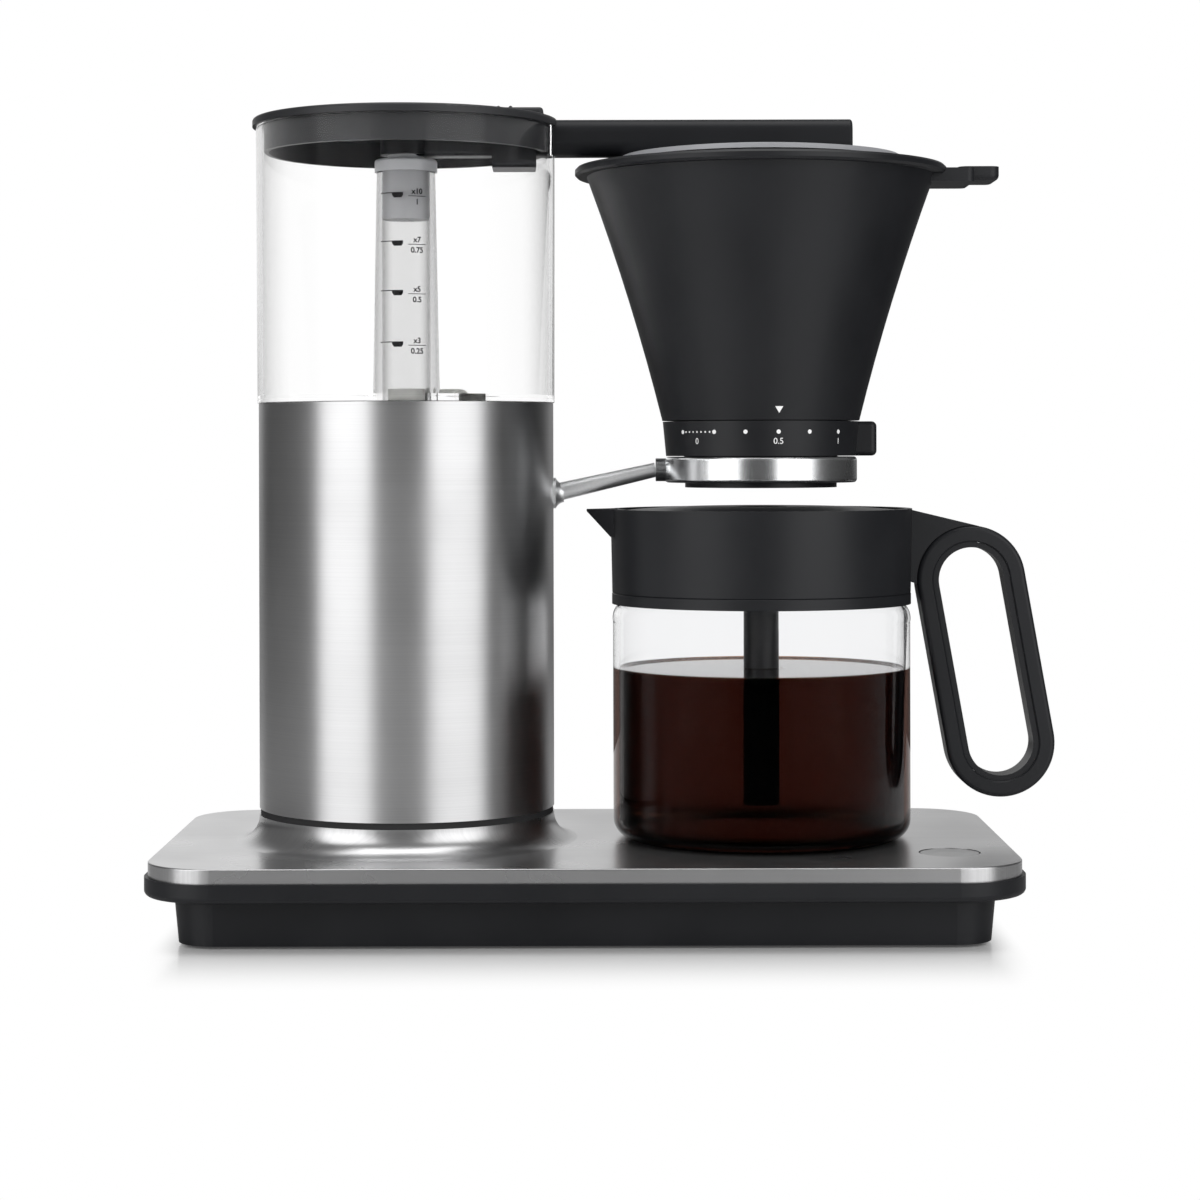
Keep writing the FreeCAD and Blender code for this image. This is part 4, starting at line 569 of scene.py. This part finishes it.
def tube_radius(z):
    share = (z - TUBE_FOOT) / (TUBE_TOP - TUBE_CAP - TUBE_FOOT)
    return TUBE_R[0] + (TUBE_R[1] - TUBE_R[0]) * min(share, 1.0)


def dial_radius(z):
    share = (z - DIAL_FOOT) / (DIAL_TOP - DIAL_FOOT)
    return DIAL_R[0] + (DIAL_R[1] - DIAL_R[0]) * share


def cone_radius(z):
    share = (z - CONE_LOW) / (CONE_HIGH - CONE_LOW)
    return CONE_R[0] + (CONE_R[1] - CONE_R[0]) * share - CONE_SAG * 4 * share * (1 - share)


def scoop_face(z):
    left, right = SCOOP
    top, half, low = z + MARK_HALF, z - SCOOP_DEEP / 2, z - SCOOP_DEEP
    bowl = [(left + SCOOP_DEEP / 2, low), (right - SCOOP_DEEP / 3, low)]
    return [(left, top), (left + SCOOP_DEEP / 8, half), *bowl, (right, half), (right, top)]


def tank_marks():
    """Volume scale on the tank's centre tube: a line with a scoop, and plain numbers."""
    faces = []
    for cups, litres, z in MARKS:
        faces.append(bar_face(MARK_LEFT, SCOOP[0], z - MARK_HALF, z + MARK_HALF))
        faces.append(scoop_face(z))
        faces.append(bar_face(*FRACTION_ACROSS, *[z + up for up in FRACTION_UP]))
        for text, up in zip((cups, litres), MARK_TEXT_UP):
            faces += text_faces(text, MARK_TEXT, MARK_TEXT_ACROSS, z + up, MARK_WEIGHT)
    printed("tank_marks", faces, tube_radius, TOWER, BLACK_INK, "tank")


def dial_marks():
    """Dots round the dial with plain numbers, and small dots along the closed range."""
    dot_z = DIAL_TOP - DOT_DOWN
    text_z = DIAL_TOP - TEXT_DOWN
    r = dial_radius(dot_z)
    first, last = DIAL_MARKS[:2]
    closed = [first + (last - first) * i / RANGE_STEPS for i in range(1, RANGE_STEPS)]
    faces = [dot_face(r * math.radians(a), dot_z, DIAL_DOT) for a in DIAL_MARKS]
    faces += [dot_face(r * math.radians(a), dot_z, RANGE_DOT) for a in closed]
    for text, angle in (("0", (first + last) / 2), ("0.5", DIAL_MARKS[3]), ("1", DIAL_MARKS[5])):
        faces += text_faces(text, DIAL_TEXT, r * math.radians(angle), text_z)
    printed("dial_marks", faces, dial_radius, JUG, WHITE_INK, "drip_dial")


def cone_index():
    """White pointer over the dial."""
    tip = CONE_LOW + POINTER_LIFT
    top = tip + POINTER_HEIGHT
    across = cone_radius(tip) * math.radians(DIAL_MARKS[3])
    face = [(across, tip), (across + POINTER_HALF, top), (across - POINTER_HALF, top)]
    printed("cone_index", [face], cone_radius, JUG, WHITE_INK, "filter_holder")


# Studio

def floor_material():
    """Pale gloss with shadow and reflection near the base, plain white farther out, and a darker tone,
    painted shade, where other surfaces reflect it.
    """
    mat, tree, bsdf = new_material("studio_floor")
    path = add(tree, "ShaderNodeLightPath").outputs
    centred = add(tree, "ShaderNodeMapping", {
        "Vector": coordinates(tree, "Object"),
        "Location": (-BASE.x, -BASE.y, 0),
    })
    away = vector_step(tree, "ABSOLUTE", centred.outputs["Vector"])
    beyond = vector_step(tree, "SUBTRACT", away, FLOOR_REACH)
    beyond = vector_step(tree, "MAXIMUM", beyond, (0, 0, 0))
    beyond = vector_step(tree, "MULTIPLY", beyond, FLOOR_WEIGHT)
    distance = vector_step(tree, "LENGTH", beyond)
    fade = ramped(tree, distance, 0.0, FLOOR_FADE, FLOOR_NEAR, 1.0, "SMOOTHSTEP")
    # Glossy rays see a darker floor tone: painted shade in its reflections
    feed(tree, bsdf, {
        "Roughness": FLOOR_ROUGH,
        "IOR": FLOOR_IOR,
        "Base Color": tinted(tree, path["Is Glossy Ray"], FLOOR_TONE, FLOOR_REFLECTED_SHADE),
    })
    seen = combined(tree, "MAXIMUM", path["Is Camera Ray"], path["Is Transmission Ray"])
    glow = add(tree, "ShaderNodeEmission")
    blend = add(tree, "ShaderNodeMixShader", {
        "Fac": combined(tree, "MULTIPLY", seen, fade),
        1: bsdf.outputs["BSDF"],
        2: glow.outputs["Emission"],
    })
    feed(tree, tree.nodes["Material Output"], {"Surface": blend.outputs["Shader"]})
    return mat


def floor():
    half = FLOOR_SIZE / 2
    bm = bmesh.new()
    bm.faces.new([bm.verts.new((x, y, 0)) for x, y in bar_face(-half, half, -half, half)])
    obj = add_object("studio_floor", bm, floor_material())


def softbox(name, place, width, height, watts):
    light = bpy.data.lights.new(name, "AREA")
    light.shape = "RECTANGLE"
    light.size = width
    light.size_y = height
    light.energy = watts
    lamp = bpy.data.objects.new(name, light)
    lamp.location = place
    lamp.rotation_euler = (Vector(LAMP_AIM) - Vector(place)).to_track_quat("-Z", "Y").to_euler()
    bpy.context.scene.collection.objects.link(lamp)


def studio_world():
    """White backdrop behind the object, darker studio in front, an even sky for the light."""
    world = bpy.data.worlds.new("studio")
    bpy.context.scene.world = world
    world.use_nodes = True
    tree = world.node_tree
    path = add(tree, "ShaderNodeLightPath").outputs
    through = path["Is Transmission Ray"]
    direction = parts(tree, coordinates(tree, "Generated"))
    front = ramped(tree, through, 0.0, 1.0, FRONT_GREY, CLEAR_GREY)
    ahead = ramped(tree, direction["Y"], *BACK_SPAN, front, BACK_WHITE, "SMOOTHSTEP")
    above = ramped(tree, direction["Z"], *LOW_SPAN, LOW_GREY, 1.0)
    across = ramped(tree, direction["X"], *RIGHT_SPAN, 1.0, RIGHT_GREY)
    lit = combined(tree, "MULTIPLY", above, across)
    backdrop = combined(tree, "MULTIPLY", ahead, combined(tree, "MAXIMUM", through, lit))
    bent = combined(tree, "MAXIMUM", path["Is Glossy Ray"], through)
    unseen = mixed(tree, bent, SKY_LIGHT, backdrop)
    strength = mixed(tree, path["Is Camera Ray"], unseen, 1.0)
    feed(tree, tree.nodes["Background"], {"Color": (1, 1, 1, 1), "Strength": strength})


def camera():
    lens = bpy.data.cameras.new("camera")
    lens.sensor_width = SENSOR_MM
    lens.lens = FOCAL_PIXELS / IMAGE_SIZE * SENSOR_MM
    lens.shift_y = (HORIZON_PIXEL - IMAGE_SIZE / 2) / IMAGE_SIZE
    view = bpy.data.objects.new("camera", lens)
    view.location = CAMERA_PLACE
    view.rotation_euler = (math.radians(90), math.radians(CAMERA_ROLL), 0)
    bpy.context.scene.collection.objects.link(view)
    bpy.context.scene.camera = view


coffee()
tank_marks()
dial_marks()
cone_index()
floor()
studio_world()
camera()
for lamp in LAMPS:
    softbox(*lamp)
bpy.context.scene.view_settings.view_transform = "Standard"
